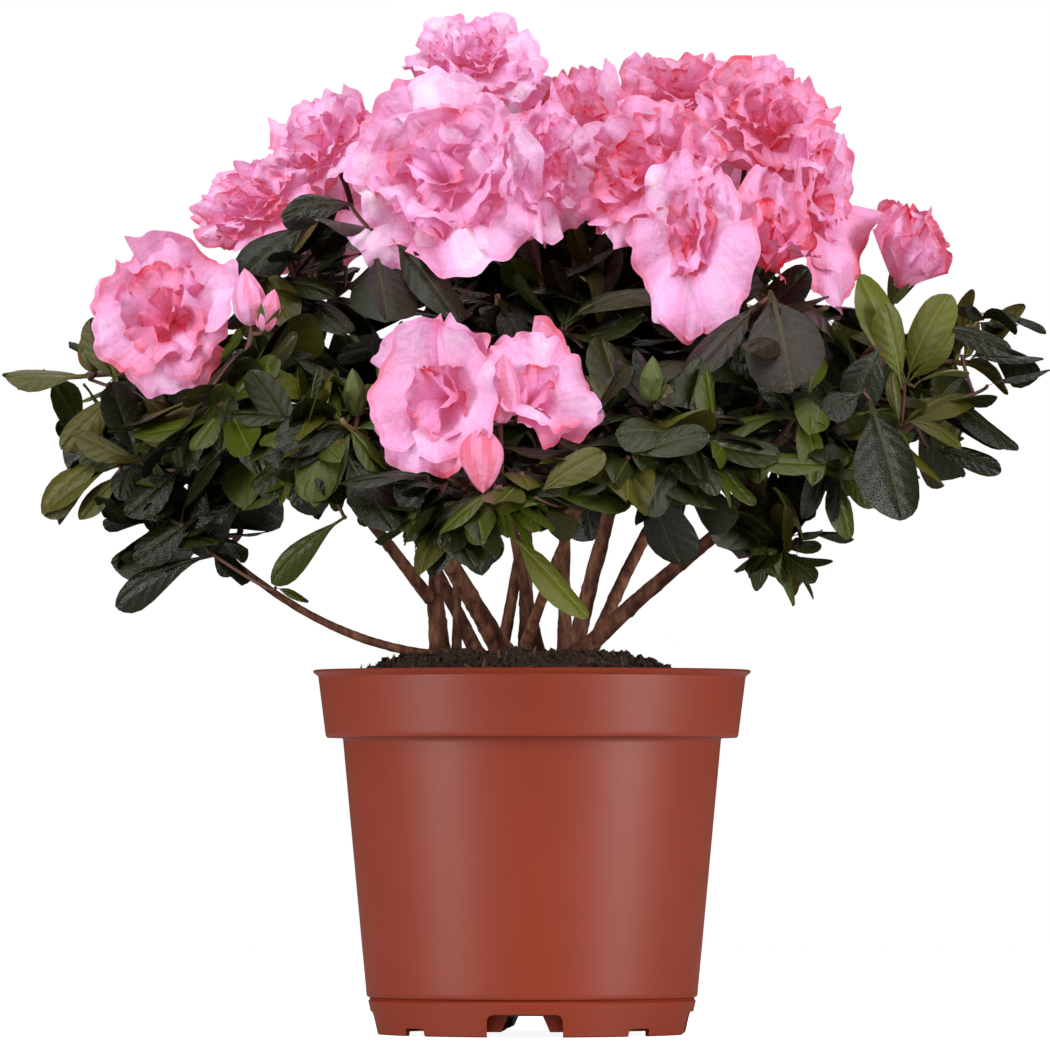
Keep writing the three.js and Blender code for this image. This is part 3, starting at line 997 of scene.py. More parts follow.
def growShoots(hubs, shape):
    rng = random.Random(growthSpec["seed"])
    shoots = []
    for node in foliageNodes:
        hub = hubs[node]["point"]
        web = [(hub, hubs[node]["ahead"], hubs[node]["radius"])]
        tips = shootTips(node, rng)
        for tip, axis in sorted(tips, key=lambda t: (t[0] - hub).length):
            start, ahead, radius = min(web, key=lambda fork: forkCost(*fork[:2], tip, hub))
            gap = (tip - start).length
            first = start + ahead * gap * growthSpec["bends"][0]
            last = tip - axis * gap * growthSpec["bends"][1]
            steps = max(4, round(gap / growthSpec["twigStep"]))
            points = []
            for i in range(steps + 1):
                t = i / steps
                sway = Vector((noise.noise(tip * 90 + up * t), noise.noise(tip * 70 - up * t), 0))
                sway *= growthSpec["sway"]
                curve = start * (1 - t) ** 3 + first * 3 * t * (1 - t) ** 2 + last * 3 * t * t * (1 - t)
                points.append(curve + tip * t ** 3 + sway * math.sin(math.pi * t))
            thick = max(growthSpec["twigRadius"], radius * growthSpec["taper"])
            radii = [lerp(thick, growthSpec["twigRadius"], i / steps) for i in range(steps + 1)]
            addTube(shape, points, radii, 6, slot=1 if rng.random() < growthSpec["redShare"] else 2)
            for i in range(1, steps):
                web.append((points[i], (points[i + 1] - points[i - 1]).normalized(), radii[i]))
            shoots.append({"tip": tip, "axis": axis, "line": points})
    print("shoots grown:", len(shoots))
    return shoots


leafForms = [  # arch: how far the tip droops, fold: how far the halves lift, twist in radians
    {"arch": 0.10, "fold": 0.10, "twist": 0.10, "wave": 0.010},
    {"arch": 0.26, "fold": 0.16, "twist": -0.25, "wave": 0.015},
    {"arch": 0.42, "fold": 0.06, "twist": 0.30, "wave": 0.020},
    {"arch": -0.12, "fold": 0.22, "twist": -0.15, "wave": 0.012},
    {"arch": 0.18, "fold": -0.10, "twist": 0.45, "wave": 0.022},
    {"arch": 0.60, "fold": 0.12, "twist": 0.0, "wave": 0.014},
]

leafSpec = {
    "seed": 23,
    "perShoot": (5, 7),
    "alongShoot": (1, 3),
    "length": (0.025, 0.038),
    "width": (0.34, 0.48),  # share of the length
    "spread": (42, 88),  # degrees from the shoot's axis
    "stalk": 0.13,
    "ribHalf": (0.034, 0.010),
    "nodeGap": 0.0012,
    "turn": 2.4,  # radians from one leaf to the next round the shoot
    "droop": 0.10,
    "crownSlack": 0.004,
    "shrink": 0.82,  # a leaf that would stand out of the crown is made shorter
    "bloomShare": 0.9,  # how much of a bloom's outline is kept clear of leaves
    "budGap": (0.6, 0.004),
}

leafOutline = [(0.0, 0.12), (0.08, 0.31), (0.21, 0.64), (0.37, 0.90), (0.53, 1.0), (0.68, 0.97),
               (0.80, 0.83), (0.90, 0.60), (0.965, 0.35), (1.0, 0.07)]  # share along, share of half width

leafColours = {
    "freshLeaf": {"colour": (0.056, 0.074, 0.0030), "rib": (0.115, 0.140, 0.020), "roughness": 0.29},
    "oliveLeaf": {"colour": (0.076, 0.072, 0.0070), "rib": (0.135, 0.130, 0.024), "roughness": 0.30},
    "darkLeaf": {"colour": (0.009, 0.0125, 0.0018), "rib": (0.034, 0.038, 0.010), "roughness": 0.24},
    "deepLeaf": {"colour": (0.022, 0.0275, 0.0035), "rib": (0.060, 0.066, 0.014), "roughness": 0.26},
    "bronzeLeaf": {"colour": (0.021, 0.0125, 0.0050), "rib": (0.058, 0.042, 0.017), "roughness": 0.28},
    "youngLeaf": {"colour": (0.110, 0.120, 0.0100), "rib": (0.180, 0.195, 0.040), "roughness": 0.34},
}


def leafShape(name, form, materials):
    columns = [-1.0, -0.62, -0.05, 0.05, 0.62, 1.0]
    stalk = leafSpec["stalk"]
    rows = [(0.0, None)] + [(stalk + (1 - stalk) * along, wide) for along, wide in leafOutline]
    verts, faces, slots = [], [], []
    for t, wide in rows:
        half = 0.5 * wide if wide is not None else 0.03
        rib = lerp(*leafSpec["ribHalf"], t)
        twist = form["twist"] * t
        height = -form["arch"] * t * t + 0.04 * t
        reach = t - 0.25 * abs(form["arch"]) * t * t * t
        for u in columns:
            x = u * half if abs(u) > 0.1 else math.copysign(min(rib, half), u)
            lift = form["fold"] * abs(x) + form["wave"] * math.sin(9 * t + 2 * u) * abs(u)
            lift -= 0.5 * x * x
            y = reach
            verts.append((x * math.cos(twist) - lift * math.sin(twist), y,
                          height + lift * math.cos(twist) + x * math.sin(twist)))
    width = len(columns)
    for row in range(len(rows) - 1):
        for column in range(width - 1):
            a = row * width + column
            faces.append((a, a + 1, a + 1 + width, a + width))
            slots.append(1 if row == 0 or column == 2 else 0)
    leaf = makeObject(name, verts, faces, materials, slots)
    spots = [((u + 1) / 2, t) for t, wide in rows for u in columns]
    layer = leaf.data.uv_layers.new(name="leafMap")
    layer.data.foreach_set("uv", [value for loop in leaf.data.loops for value in spots[loop.vertex_index]])
    mark = leaf.data.attributes.new("isRib", "BOOLEAN", "FACE")
    mark.data.foreach_set("value", [slot == 1 for slot in slots])
    return leaf


def leafTree():
    tree, start, end = scatterTree("leafSprays", [
        ("Leaf shapes", "NodeSocketCollection"), ("Overall size", "NodeSocketFloat"),
        ("Blade", "NodeSocketMaterial"), ("Rib", "NodeSocketMaterial")])
    nodes = tree.nodes
    pick, place, real = pickAndPlace(nodes)
    attributes = {}
    for label, kind in (("turn", "FLOAT_VECTOR"), ("size", "FLOAT_VECTOR"), ("form", "INT")):
        attributes[label] = nodes.new("GeometryNodeInputNamedAttribute")
        attributes[label].data_type = kind
        attributes[label].inputs["Name"].default_value = label
    turn = nodes.new("FunctionNodeEulerToRotation")
    grow = nodes.new("ShaderNodeVectorMath")
    grow.operation = "SCALE"
    blade = nodes.new("GeometryNodeSetMaterial")
    rib = nodes.new("GeometryNodeSetMaterial")
    mark = nodes.new("GeometryNodeInputNamedAttribute")
    mark.data_type = "BOOLEAN"
    mark.inputs["Name"].default_value = "isRib"
    wireUp(
        tree,
        (start, "Geometry", place, "Points"),
        (start, "Leaf shapes", pick, "Collection"),
        (pick, "Instances", place, "Instance"),
        (attributes["form"], "Attribute", place, "Instance Index"),
        (attributes["turn"], "Attribute", turn, "Euler"),
        (turn, "Rotation", place, "Rotation"),
        (attributes["size"], "Attribute", grow, 0),
        (start, "Overall size", grow, "Scale"),
        (grow, "Vector", place, "Scale"),
        (place, "Instances", real, "Geometry"),
        (real, "Geometry", blade, "Geometry"),
        (start, "Blade", blade, "Material"),
        (blade, "Geometry", rib, "Geometry"),
        (mark, "Attribute", rib, "Selection"),
        (start, "Rib", rib, "Material"),
        (rib, "Geometry", end, "Geometry"))
    return tree


def leafTurn(along, upward):
    across = along.cross(upward)
    if across.length < 0.05:
        across = along.cross(Vector((0.3, 1, 0.2)))
    across.normalize()
    over = across.cross(along)
    return Matrix((across, along, over)).transposed().to_euler()


ownSprays = {  # leaves set one by one: base, tip and width as a share of length
    "leftTip": {"forward": 0.010, "colour": "oliveLeaf", "leaves": [
        ((-0.1319, -0.014, 0.1960), (-0.1571, -0.018, 0.1967), 0.33),
        ((-0.1230, -0.014, 0.1930), (-0.1312, -0.018, 0.2137), 0.50),
        ((-0.1224, -0.014, 0.1918), (-0.1407, -0.018, 0.1743), 0.36),
        ((-0.1185, -0.014, 0.1915), (-0.0951, -0.018, 0.1749), 0.42),
        ((-0.1260, -0.014, 0.1939), (-0.1139, -0.018, 0.2101), 0.40)]},
    "leftLow": {"forward": 0.012, "colour": "oliveLeaf", "leaves": [
        ((-0.1231, -0.024, 0.1696), (-0.1476, -0.028, 0.1576), 0.38),
        ((-0.1219, -0.024, 0.1667), (-0.1354, -0.028, 0.1538), 0.42),
        ((-0.1231, -0.024, 0.1726), (-0.1506, -0.028, 0.1630), 0.36),
        ((-0.1136, -0.024, 0.1682), (-0.1357, -0.028, 0.1799), 0.40)]},
    "leftUnder": {"forward": 0.010, "colour": "darkLeaf", "leaves": [
        ((-0.1028, -0.036, 0.1683), (-0.1207, -0.040, 0.1543), 0.48),
        ((-0.0998, -0.036, 0.1529), (-0.1180, -0.040, 0.1410), 0.50),
        ((-0.0865, -0.036, 0.1595), (-0.1017, -0.040, 0.1434), 0.46),
        ((-0.0939, -0.036, 0.1423), (-0.1275, -0.040, 0.1354), 0.20)]},
    "leftInner": {"colour": "freshLeaf", "leaves": [
        ((-0.0628, -0.060, 0.1713), (-0.0879, -0.064, 0.1571), 0.34),
        ((-0.0549, -0.060, 0.1531), (-0.0809, -0.064, 0.1369), 0.20),
        ((-0.0754, -0.060, 0.1323), (-0.0654, -0.064, 0.1304), 0.35)]},
    "underLarge": {"behind": 0.020, "colour": "darkLeaf", "leaves": [
        ((-0.0461, -0.062, 0.2308), (-0.0422, -0.072, 0.2112), 0.85),
        ((-0.0411, -0.062, 0.2358), (-0.0240, -0.070, 0.2194), 0.50),
        ((-0.0534, -0.062, 0.2460), (-0.0665, -0.070, 0.2487), 0.50),
        ((-0.0475, -0.062, 0.2387), (-0.0627, -0.070, 0.2414), 0.60)]},
    "leftShoulder": {"behind": 0.012, "colour": "darkLeaf", "leaves": [
        ((-0.0651, -0.040, 0.2415), (-0.0889, -0.046, 0.2289), 0.46),
        ((-0.0553, -0.040, 0.2282), (-0.0847, -0.048, 0.2162), 0.30),
        ((-0.0597, -0.040, 0.2164), (-0.0774, -0.050, 0.2029), 0.70)]},
    "frontLong": {"colour": "darkLeaf", "leaves": [
        ((-0.0300, -0.108, 0.1635), (-0.0573, -0.112, 0.1651), 0.34),
        ((-0.0185, -0.108, 0.1503), (-0.0101, -0.112, 0.1392), 0.85),
        ((0.0081, -0.108, 0.1552), (-0.0121, -0.112, 0.1588), 0.24),
        ((-0.0006, -0.108, 0.1580), (0.0202, -0.112, 0.1594), 0.28)]},
    "frontHanging": {"colour": "youngLeaf", "leaves": [
        ((-0.0069, -0.108, 0.1471), (0.0173, -0.112, 0.1228), 0.34)]},
    "rightDroop": {"colour": "darkLeaf", "leaves": [
        ((0.0348, -0.090, 0.1653), (0.0374, -0.094, 0.1362), 0.45),
        ((0.0459, -0.090, 0.1717), (0.0270, -0.094, 0.1512), 0.35)]},
    "rightBronze": {"behind": 0.016, "colour": "bronzeLeaf", "leaves": [
        ((0.0698, -0.086, 0.2189), (0.0767, -0.094, 0.1926), 0.78),
        ((0.0663, -0.086, 0.2154), (0.0453, -0.092, 0.1949), 0.35),
        ((0.0779, -0.086, 0.2067), (0.0618, -0.092, 0.2022), 0.50)]},
    "rightLarge": {"forward": 0.010, "colour": "darkLeaf", "leaves": [
        ((0.0985, -0.064, 0.1873), (0.1095, -0.070, 0.1514), 0.62),
        ((0.0967, -0.064, 0.1896), (0.0843, -0.070, 0.1827), 0.60),
        ((0.1020, -0.064, 0.2034), (0.0925, -0.070, 0.1848), 0.55)]},
    "rightWhorl": {"behind": 0.006, "forward": 0.020, "colour": "youngLeaf", "leaves": [
        ((0.1097, -0.040, 0.1927), (0.0980, -0.046, 0.2248), 0.36),
        ((0.1103, -0.040, 0.1927), (0.1178, -0.046, 0.2200), 0.40),
        ((0.1106, -0.040, 0.1927), (0.1231, -0.046, 0.2073), 0.38),
        ((0.1088, -0.040, 0.1913), (0.1042, -0.046, 0.2162), 0.36),
        ((0.1124, -0.040, 0.1919), (0.1240, -0.046, 0.2023), 0.36)]},
    "rightTip": {"forward": 0.016, "colour": "darkLeaf", "leaves": [
        ((0.1190, -0.010, 0.2105), (0.1445, -0.014, 0.2067), 0.24),
        ((0.1354, -0.010, 0.1932), (0.1540, -0.014, 0.1987), 0.24),
        ((0.1279, -0.010, 0.2021), (0.1525, -0.014, 0.2019), 0.18),
        ((0.1190, -0.010, 0.1920), (0.1457, -0.014, 0.1748), 0.34),
        ((0.1175, -0.010, 0.1746), (0.1409, -0.014, 0.1709), 0.24)]},
    "rightUnder": {"colour": "freshLeaf", "leaves": [
        ((0.0618, -0.052, 0.1539), (0.0738, -0.058, 0.1353), 0.36),
        ((0.0660, -0.052, 0.1548), (0.0847, -0.058, 0.1312), 0.34),
        ((0.0863, -0.052, 0.1654), (0.0973, -0.058, 0.1494), 0.60),
        ((0.0892, -0.052, 0.1672), (0.1023, -0.058, 0.1582), 0.40)]},
}


def addOwnSprays(sprays, shoots, twigs):
    rng = random.Random(leafSpec["seed"] + 1)
    for spray in ownSprays.values():
        for base, tip, wide in spray["leaves"]:
            forward = Vector((0, spray.get("forward", 0), 0))
            base, tip = Vector(base) - forward, Vector(tip) - forward
            seen = (tip - base).length
            base.y += spray.get("behind", 0)
            along = tip - base
            upward = Vector((rng.uniform(-0.45, 0.45), rng.uniform(-0.9, -0.4), 0.65))
            sprays[spray["colour"]].append({
                "base": base, "turn": leafTurn(along.normalized(), upward),
                "form": rng.randrange(3), "size": (seen * wide * 1.05, along.length, along.length)})
            joinTwig(shoots, twigs, base, Vector((0, -0.8, 0.35)), stalkSpec["leafRadius"])


def insideCrown(point, slack):
    for node in foliageNodes + blossomNodes:
        centre, half = clumpBoxes[node]
        away = point - centre
        if sum((away[k] / (half[k] + slack)) ** 2 for k in range(3)) < 1:
            return True
    return False


def hidesBloom(point):  # true just in front of a bloom or bud on the front of the plant
    for node in blossomNodes:
        centre, half = clumpBoxes[node]
        if centre.y > 0.015 or point.y > centre.y + half.y:
            continue
        away = ((point.x - centre.x) / half.x) ** 2 + ((point.z - centre.z) / half.z) ** 2
        if away < leafSpec["bloomShare"]:
            return True
    share, behind = leafSpec["budGap"]
    for spec in budSpecs.values():
        reach = spec["size"][1]
        bud = Vector(spec["at"]) + Vector(spec["facing"]) * reach / 2
        if point.y < bud.y + behind and math.hypot(point.x - bud.x, point.z - bud.z) < reach * share:
            return True
    return False


def sprayColour(shoot, rng):
    top = cadBounds[1][2]
    high = smooth(0.55, 0.9, shoot["tip"].z / top)
    rim = smooth(0.07, 0.14, math.hypot(shoot["tip"].x, shoot["tip"].y))
    weights = {
        "freshLeaf": 0.25 + 1.3 * rim * (1 - high),
        "oliveLeaf": 0.25 + 0.9 * rim,
        "darkLeaf": 1.2 + 0.5 * high,
        "deepLeaf": 1.2,
        "bronzeLeaf": 0.15 + 1.8 * high,
        "youngLeaf": 0.10,
    }
    return rng.choices(list(weights), list(weights.values()))[0]


def dealLeaves(shoots):
    rng = random.Random(leafSpec["seed"])
    sprays = {colour: [] for colour in leafColours}
    for shoot in shoots:
        colour = sprayColour(shoot, rng)
        axis, tip = shoot["axis"], shoot["tip"]
        side = anyAcross(axis)
        over = axis.cross(side)
        count = rng.randint(*leafSpec["perShoot"])
        start = rng.uniform(0, math.tau)
        for i in range(count + rng.randint(*leafSpec["alongShoot"])):
            onTip = i < count
            if onTip:
                base = tip - axis * leafSpec["nodeGap"] * i
                size = 1 - 0.25 * (1 - i / count) * rng.random()
            else:
                line = shoot["line"]
                base = line[rng.randint(3, len(line) - 2)]
                size = rng.uniform(0.75, 1.0)
            outwards = spoke(side, over, start + i * leafSpec["turn"] + rng.uniform(-0.25, 0.25))
            spread = lerp(*leafSpec["spread"], i / count if onTip else 1.0)
            along = spoke(axis, outwards, math.radians(spread + rng.uniform(-10, 10))).normalized()
            along = (along - up * leafSpec["droop"]).normalized()
            length = rng.uniform(*leafSpec["length"]) * size
            for _ in range(3):
                if insideCrown(base + along * length, leafSpec["crownSlack"]):
                    break
                length *= leafSpec["shrink"]
            else:
                continue
            if any(hidesBloom(base + along * length * share) for share in (0.4, 0.7, 1.0)):
                continue
            width = length * rng.uniform(*leafSpec["width"])
            upward = (axis + up * 0.5).normalized()
            sprays[colour].append({
                "base": base, "turn": leafTurn(along, upward), "form": rng.randrange(len(leafForms)),
                "size": (width, length, length)})
    return sprays


def storeOn(points, name, kind, field, values):
    layer = points.data.attributes.new(name, kind, "POINT")
    layer.data.foreach_set(field, values)


def makeLeaves(sprays):
    tree = leafTree()
    for colour, leaves in sprays.items():
        if not leaves:
            continue
        spec = leafColours[colour]
        blade = leafFinish(colour, spec["colour"], spec["roughness"])
        rib = leafFinish(colour + "Rib", spec["rib"], veinSpec["ribRoughness"])
        shapes = gatherShapes("leafShapes", [
            leafShape("leaf%d" % i, form, [blade, rib]) for i, form in enumerate(leafForms)])
        points = makeObject("leafPoints", [leaf["base"] for leaf in leaves], [], [])
        storeOn(points, "turn", "FLOAT_VECTOR", "vector", [v for leaf in leaves for v in leaf["turn"]])
        storeOn(points, "size", "FLOAT_VECTOR", "vector", [v for leaf in leaves for v in leaf["size"]])
        storeOn(points, "form", "INT", "value", [leaf["form"] for leaf in leaves])
        piece = scatterOn(colour + "Sprays", points, tree, {
            "Leaf shapes": shapes, "Overall size": 1.0, "Blade": blade, "Rib": rib})
        bpy.data.objects.remove(points)
        dropShapes(shapes)
        for layer in [a.name for a in piece.data.attributes if a.name in ("turn", "size", "form", "isRib")]:
            piece.data.attributes.remove(piece.data.attributes[layer])
        finishPiece(piece, "leaf", *(foliageNodes if colour == "darkLeaf" else ()))
        print("leaves of colour", colour, len(leaves))


petalKeys = [  # from the throat to the palest part of a petal
    (0.62, 0.028, 0.055), (0.66, 0.100, 0.170), (0.69, 0.210, 0.345), (0.72, 0.305, 0.530),
    (0.75, 0.395, 0.680), (0.78, 0.525, 0.765), (0.86, 0.710, 0.820)]


def petalTints(steps):
    tints = []
    for i in range(steps):
        place = i / (steps - 1) * (len(petalKeys) - 1)
        low = min(len(petalKeys) - 2, int(place))
        share = place - low
        tints.append(tuple(lerp(a, b, share) for a, b in zip(petalKeys[low], petalKeys[low + 1])))
    return tints


petalSpec = {
    "rows": 13,
    "columns": 48,
    "seed": 71,
    "tints": 21,
    "fit": 1.05,  # share of the clump's box that a bloom fills
    "stretch": (0.7, 1.6),
    "pale": (1.0, 0.62, 0.24),  # paler middle: how many tint keys, where along the petal, how wide
    "throat": (3.2, 0.18),
    "rim": (0.8, 0.94),
    # painted shade and light: a ruffle's valleys take darker tints and its crests paler ones
    "paintedFoldShade": 0.95,
    "streak": 0.42,
}

whorlColumns = "count length fan open ruffle fine loose tint".split()

bloomForms = {  # whorls from the outside in; open is the angle off the axis at base and tip, in degrees
    "double": [
        (6, 1.15, 56, (36, 112), 0.120, 0.040, 0.5, 4.1),
        (6, 1.00, 54, (24, 84), 0.150, 0.050, 0.8, 3.8),
        (6, 0.84, 50, (12, 62), 0.180, 0.060, 1.2, 3.5),
        (6, 0.66, 48, (0, 42), 0.220, 0.070, 1.7, 3.2),
    ],
    "semi": [
        (5, 1.20, 58, (28, 100), 0.105, 0.030, 0.6, 4.4),
        (5, 0.90, 50, (14, 66), 0.150, 0.045, 1.2, 3.7),
        (4, 0.64, 46, (2, 40), 0.190, 0.060, 1.6, 2.6),
    ],
    "cup": [
        (5, 1.20, 54, (14, 64), 0.110, 0.035, 0.6, 3.9),
        (5, 1.02, 48, (6, 42), 0.150, 0.050, 1.0, 3.3),
        (5, 0.76, 44, (-4, 26), 0.190, 0.060, 1.5, 2.0),
    ],
    "open": [
        (5, 1.20, 60, (22, 92), 0.085, 0.020, 0.9, 3.5),
        (4, 0.82, 52, (8, 52), 0.120, 0.028, 1.5, 2.7),
    ],
    "half": [
        (5, 1.45, 52, (40, -26), 0.060, 0.020, 0.4, 3.7),
        (4, 1.30, 48, (26, -12), 0.090, 0.030, 0.6, 3.2),
    ],
}

# Facing is the way a bloom looks out of its clump. Deep darkens its tints, hang lengthens the lowest of its
# outer petals, and fit is its own share of the clump's box.
bloomSpecs = table("form facing deep hang fit", {
    "blossom_left": ("semi", (-0.25, -0.92, 0.25), 0.8),
    "blossom_left_upper": ("double", (-0.50, -0.75, 0.35), 0.6),
    "blossom_upper_left": ("double", (-0.40, -0.70, 0.55), 0.4),
    "blossom_large": ("double", (-0.10, -0.95, 0.25), -0.2, 0.3),
    "blossom_top": ("double", (0.05, -0.75, 0.65)),
    "blossom_centre": ("double", (0.45, -0.85, -0.05), 0.3, 0.3),
    "blossom_centre_cup": ("cup", (0.10, -0.62, 0.75), 0.8),
    "blossom_right_top": ("double", (0.00, -0.65, 0.75), 1.2, 0, 1.20),
    "blossom_right_rosette": ("double", (-0.40, -0.88, 0.25), 1.2, 0, 1.20),
    "blossom_right_upper": ("double", (0.30, -0.80, 0.50), 1.2, 0, 1.20),
    "blossom_right_front": ("semi", (-0.20, -0.95, 0.10), 0.7, 0.7),
    "blossom_right_cup": ("cup", (0.05, -0.72, 0.70), 1.2, 0, 1.20),
    "blossom_right_side": ("semi", (0.65, -0.75, 0.10), 1.2, 0.5, 1.20),
    "blossom_right_tip": ("half", (0.35, -0.35, 0.85), 0.6),
    "blossom_front_left": ("open", (-0.45, -0.88, 0.10)),
    "blossom_front_right": ("open", (0.40, -0.75, 0.50)),
    "blossom_back_left": ("double", (-0.55, 0.60, 0.60)),
    "blossom_back_top": ("double", (-0.05, 0.50, 0.85)),
    "blossom_back": ("double", (0.10, 0.90, 0.35)),
    "blossom_back_right": ("double", (0.50, 0.60, 0.65)),
})


def petalPoint(petal, along, across):
    base, axis, out, side = petal["base"], petal["axis"], petal["out"], petal["side"]
    length, phase, ruffle, fine = petal["length"], petal["phase"], petal["ruffle"], petal["fine"]
    angle = petal["fan"] * across
    edge = 1 - 0.12 * across ** 2 - 0.05 * math.cos(3.1 * across + phase[0])
    edge -= 0.035 * math.sin(9 * across + phase[1]) + 0.018 * math.sin(20 * across + phase[2])
    reach = along * edge
    forward = reach * math.cos(angle * 0.9)
    lateral = reach * math.sin(angle) * length
    bend = (petal["high"] - petal["low"]) / 2
    ahead = petal["low"] + bend * forward * 2
    if abs(bend) > 0.01:
        outReach = (math.cos(petal["low"]) - math.cos(ahead)) / (2 * bend) * length
        rise = (math.sin(ahead) - math.sin(petal["low"])) / (2 * bend) * length
    else:
        outReach = forward * math.sin(petal["low"]) * length
        rise = forward * math.cos(petal["low"]) * length
    wave = along ** 1.8 * ruffle * math.sin(petal["folds"] * across + phase[3] + 1.2 * along)
    wave += along ** 2.8 * ruffle * 0.65 * math.sin(2.1 * petal["folds"] * across + phase[4] - along)
    wave += along ** 2 * ruffle * 0.35 * math.sin(5 * along + phase[5] + 2 * across)
    frill = along ** 6 * fine * math.sin(14 * across + phase[6])
    frill += along ** 9 * fine * 0.75 * math.sin(24 * across + phase[7])
    frill += along ** 16 * fine * 0.5 * math.sin(35 * across + phase[1])
    lift = (wave + frill) * length + petal["cup"] * lateral * lateral / length
    point = base + out * (outReach - lift * math.cos(ahead)) + axis * (rise + lift * math.sin(ahead))
    return point + side * lateral, wave / ruffle


def tintOf(tint, along, across, wave, streak):
    spec = petalSpec
    (pale, place, wide), (throat, reach), (rim, rimStart) = spec["pale"], spec["throat"], spec["rim"]
    value = tint + pale * math.exp(-((along - place) / wide) ** 2) * (1 - abs(across) ** 1.5)
    value -= throat * math.exp(-along / reach)
    value -= rim * smooth(rimStart, 1.0, along)
    # the ruffle's wave paints shade into the fold valleys and light onto the crests
    value += spec["paintedFoldShade"] * wave * along + spec["streak"] * streak * (1 - along * 0.5)
    steps = spec["tints"] - 1
    return min(steps, max(0, round(value / (len(petalKeys) - 1) * steps)))


def addPetal(shape, whorl, base, axis, angle, size, deep, hang, rng):
    side = anyAcross(axis)
    loose = whorl["loose"]
    tilt = Vector([rng.uniform(-0.16, 0.16) * loose for _ in range(3)])
    axis = (axis + tilt).normalized()
    side = (side - axis * side.dot(axis)).normalized()
    angle += rng.uniform(-0.2, 0.2) * loose
    out = spoke(side, axis.cross(side), angle)
    swing = rng.uniform(-9, 9) * loose
    petal = {
        "base": base, "axis": axis, "out": out, "side": axis.cross(out),
        "length": (whorl["length"] * size * rng.uniform(1 - 0.09 * loose, 1 + 0.08 * loose)
                   * (1 + hang * max(0.0, -out.z) ** 3)),
        "fan": math.radians(whorl["fan"] * rng.uniform(0.85, 1.1)),
        "low": math.radians(whorl["open"][0] + swing * 0.5), "high": math.radians(whorl["open"][1] + swing),
        "ruffle": whorl["ruffle"] * rng.uniform(0.7, 1.2), "fine": whorl["fine"],
        "folds": rng.uniform(3.2, 4.8), "cup": rng.uniform(0.1, 0.55),
        "phase": [rng.uniform(0, math.tau) for _ in range(8)],
    }
    tint = whorl["tint"] - deep + rng.uniform(-0.35, 0.35)
    rows, columns = petalSpec["rows"], petalSpec["columns"]
    streaks = [rng.uniform(-1, 1) for _ in range(columns + 1)]
    verts, faces, slots = shape["verts"], shape["faces"], shape["slots"]
    first = len(verts)
    marks = []
    for i in range(rows + 1):
        along = 0.05 + 0.95 * (i / rows) ** 0.8
        for j in range(columns + 1):
            across = 2 * j / columns - 1
            point, wave = petalPoint(petal, along, across)
            verts.append(point)
            marks.append((along, across, wave))
    for i in range(rows):
        for j in range(columns):
            a = i * (columns + 1) + j
            faces.append((first + a, first + a + 1, first + a + columns + 2, first + a + columns + 1))
            slots.append(tintOf(tint, *marks[a + columns + 2], streaks[j]))


def fitTo(points, centre, half, fit):  # how far a bloom is moved and stretched to fill its clump
    low = Vector([min(p[k] for p in points) for k in range(3)])
    high = Vector([max(p[k] for p in points) for k in range(3)])
    least, most = petalSpec["stretch"]
    grow = Vector([min(most, max(least, 2 * half[k] * fit / (high[k] - low[k]))) for k in range(3)])
    was = (low + high) / 2
    return lambda p: centre + Vector([(p[k] - was[k]) * grow[k] for k in range(3)])


def blossomGroup(node):
    centre = clumpBoxes[node][0]
    if centre.y > 0.03:
        return "backBlossom"
    if centre.x < -0.035:
        return "leftBlossom"
    return "middleBlossom" if centre.x < 0.025 else "rightBlossom"


stalkSpec = {"leafRadius": 0.0006, "bloomRadius": 0.0009, "budRadius": 0.0008, "overlap": 0.004,
             "pull": 0.4, "bend": 0.3}


def joinTwig(shoots, twigs, end, ahead, radius):  # from the nearest shoot that lies behind the end
    places = [point for shoot in shoots for point in shoot["line"][2:]]
    start = min(places, key=lambda p: (p - end).length - stalkSpec["pull"] * (end - p).dot(ahead))
    gap = (end - start).length
    points = curvePoints(start, end - ahead * gap * stalkSpec["bend"], end, 8)
    addTube(twigs, points, [radius] * 9, 6, slot=1)
    shoots.append({"line": points})


def makeBlossom(shoots, twigs):
    rng = random.Random(petalSpec["seed"])
    materials = [petalFinish("petalTint%02d" % i, c) for i, c in enumerate(petalTints(petalSpec["tints"]))]
    shapes = {}
    green = newShape()
    for node in blossomNodes:
        spec = bloomSpecs[node]
        shape = shapes.setdefault(blossomGroup(node), newShape())
        centre, half = clumpBoxes[node]
        axis = Vector(spec["facing"]).normalized()
        size = (half.x + half.y + half.z) / 3
        base = Vector((0, 0, 0))
        first = len(shape["verts"])
        turn = rng.uniform(0, math.tau)
        for order, values in enumerate(bloomForms[spec["form"]]):
            whorl = dict(zip(whorlColumns, values))
            turn += rng.uniform(0.3, 0.8)
            hang = 0 if order else spec.get("hang", 0)  # only the outer whorl has a long lower petal
            for k in range(whorl["count"]):
                addPetal(shape, whorl, base, axis, turn + math.tau * k / whorl["count"], size,
                         spec.get("deep", 0), hang, rng)
        place = fitTo(shape["verts"][first:], centre, half, spec.get("fit", petalSpec["fit"]))
        shape["verts"][first:] = [place(p) for p in shape["verts"][first:]]
        base = place(base)
        addCalyx(green, base, axis)
        joinTwig(shoots, twigs, base - axis * stalkSpec["overlap"], axis, stalkSpec["bloomRadius"])
    for name, shape in shapes.items():
        members = [n for n in blossomNodes if blossomGroup(n) == name]
        piece = makeObject(name, shape["verts"], shape["faces"], materials, shape["slots"])
        finishPiece(piece, "petal", *members)
    makeBuds(shoots, twigs, green, materials)
    calyx = makeObject("calyces", green["verts"], green["faces"],
                       [grainFinish("calyxGreen"), grainFinish("budBrown")], green["slots"])
    finishPiece(calyx, "leaf")


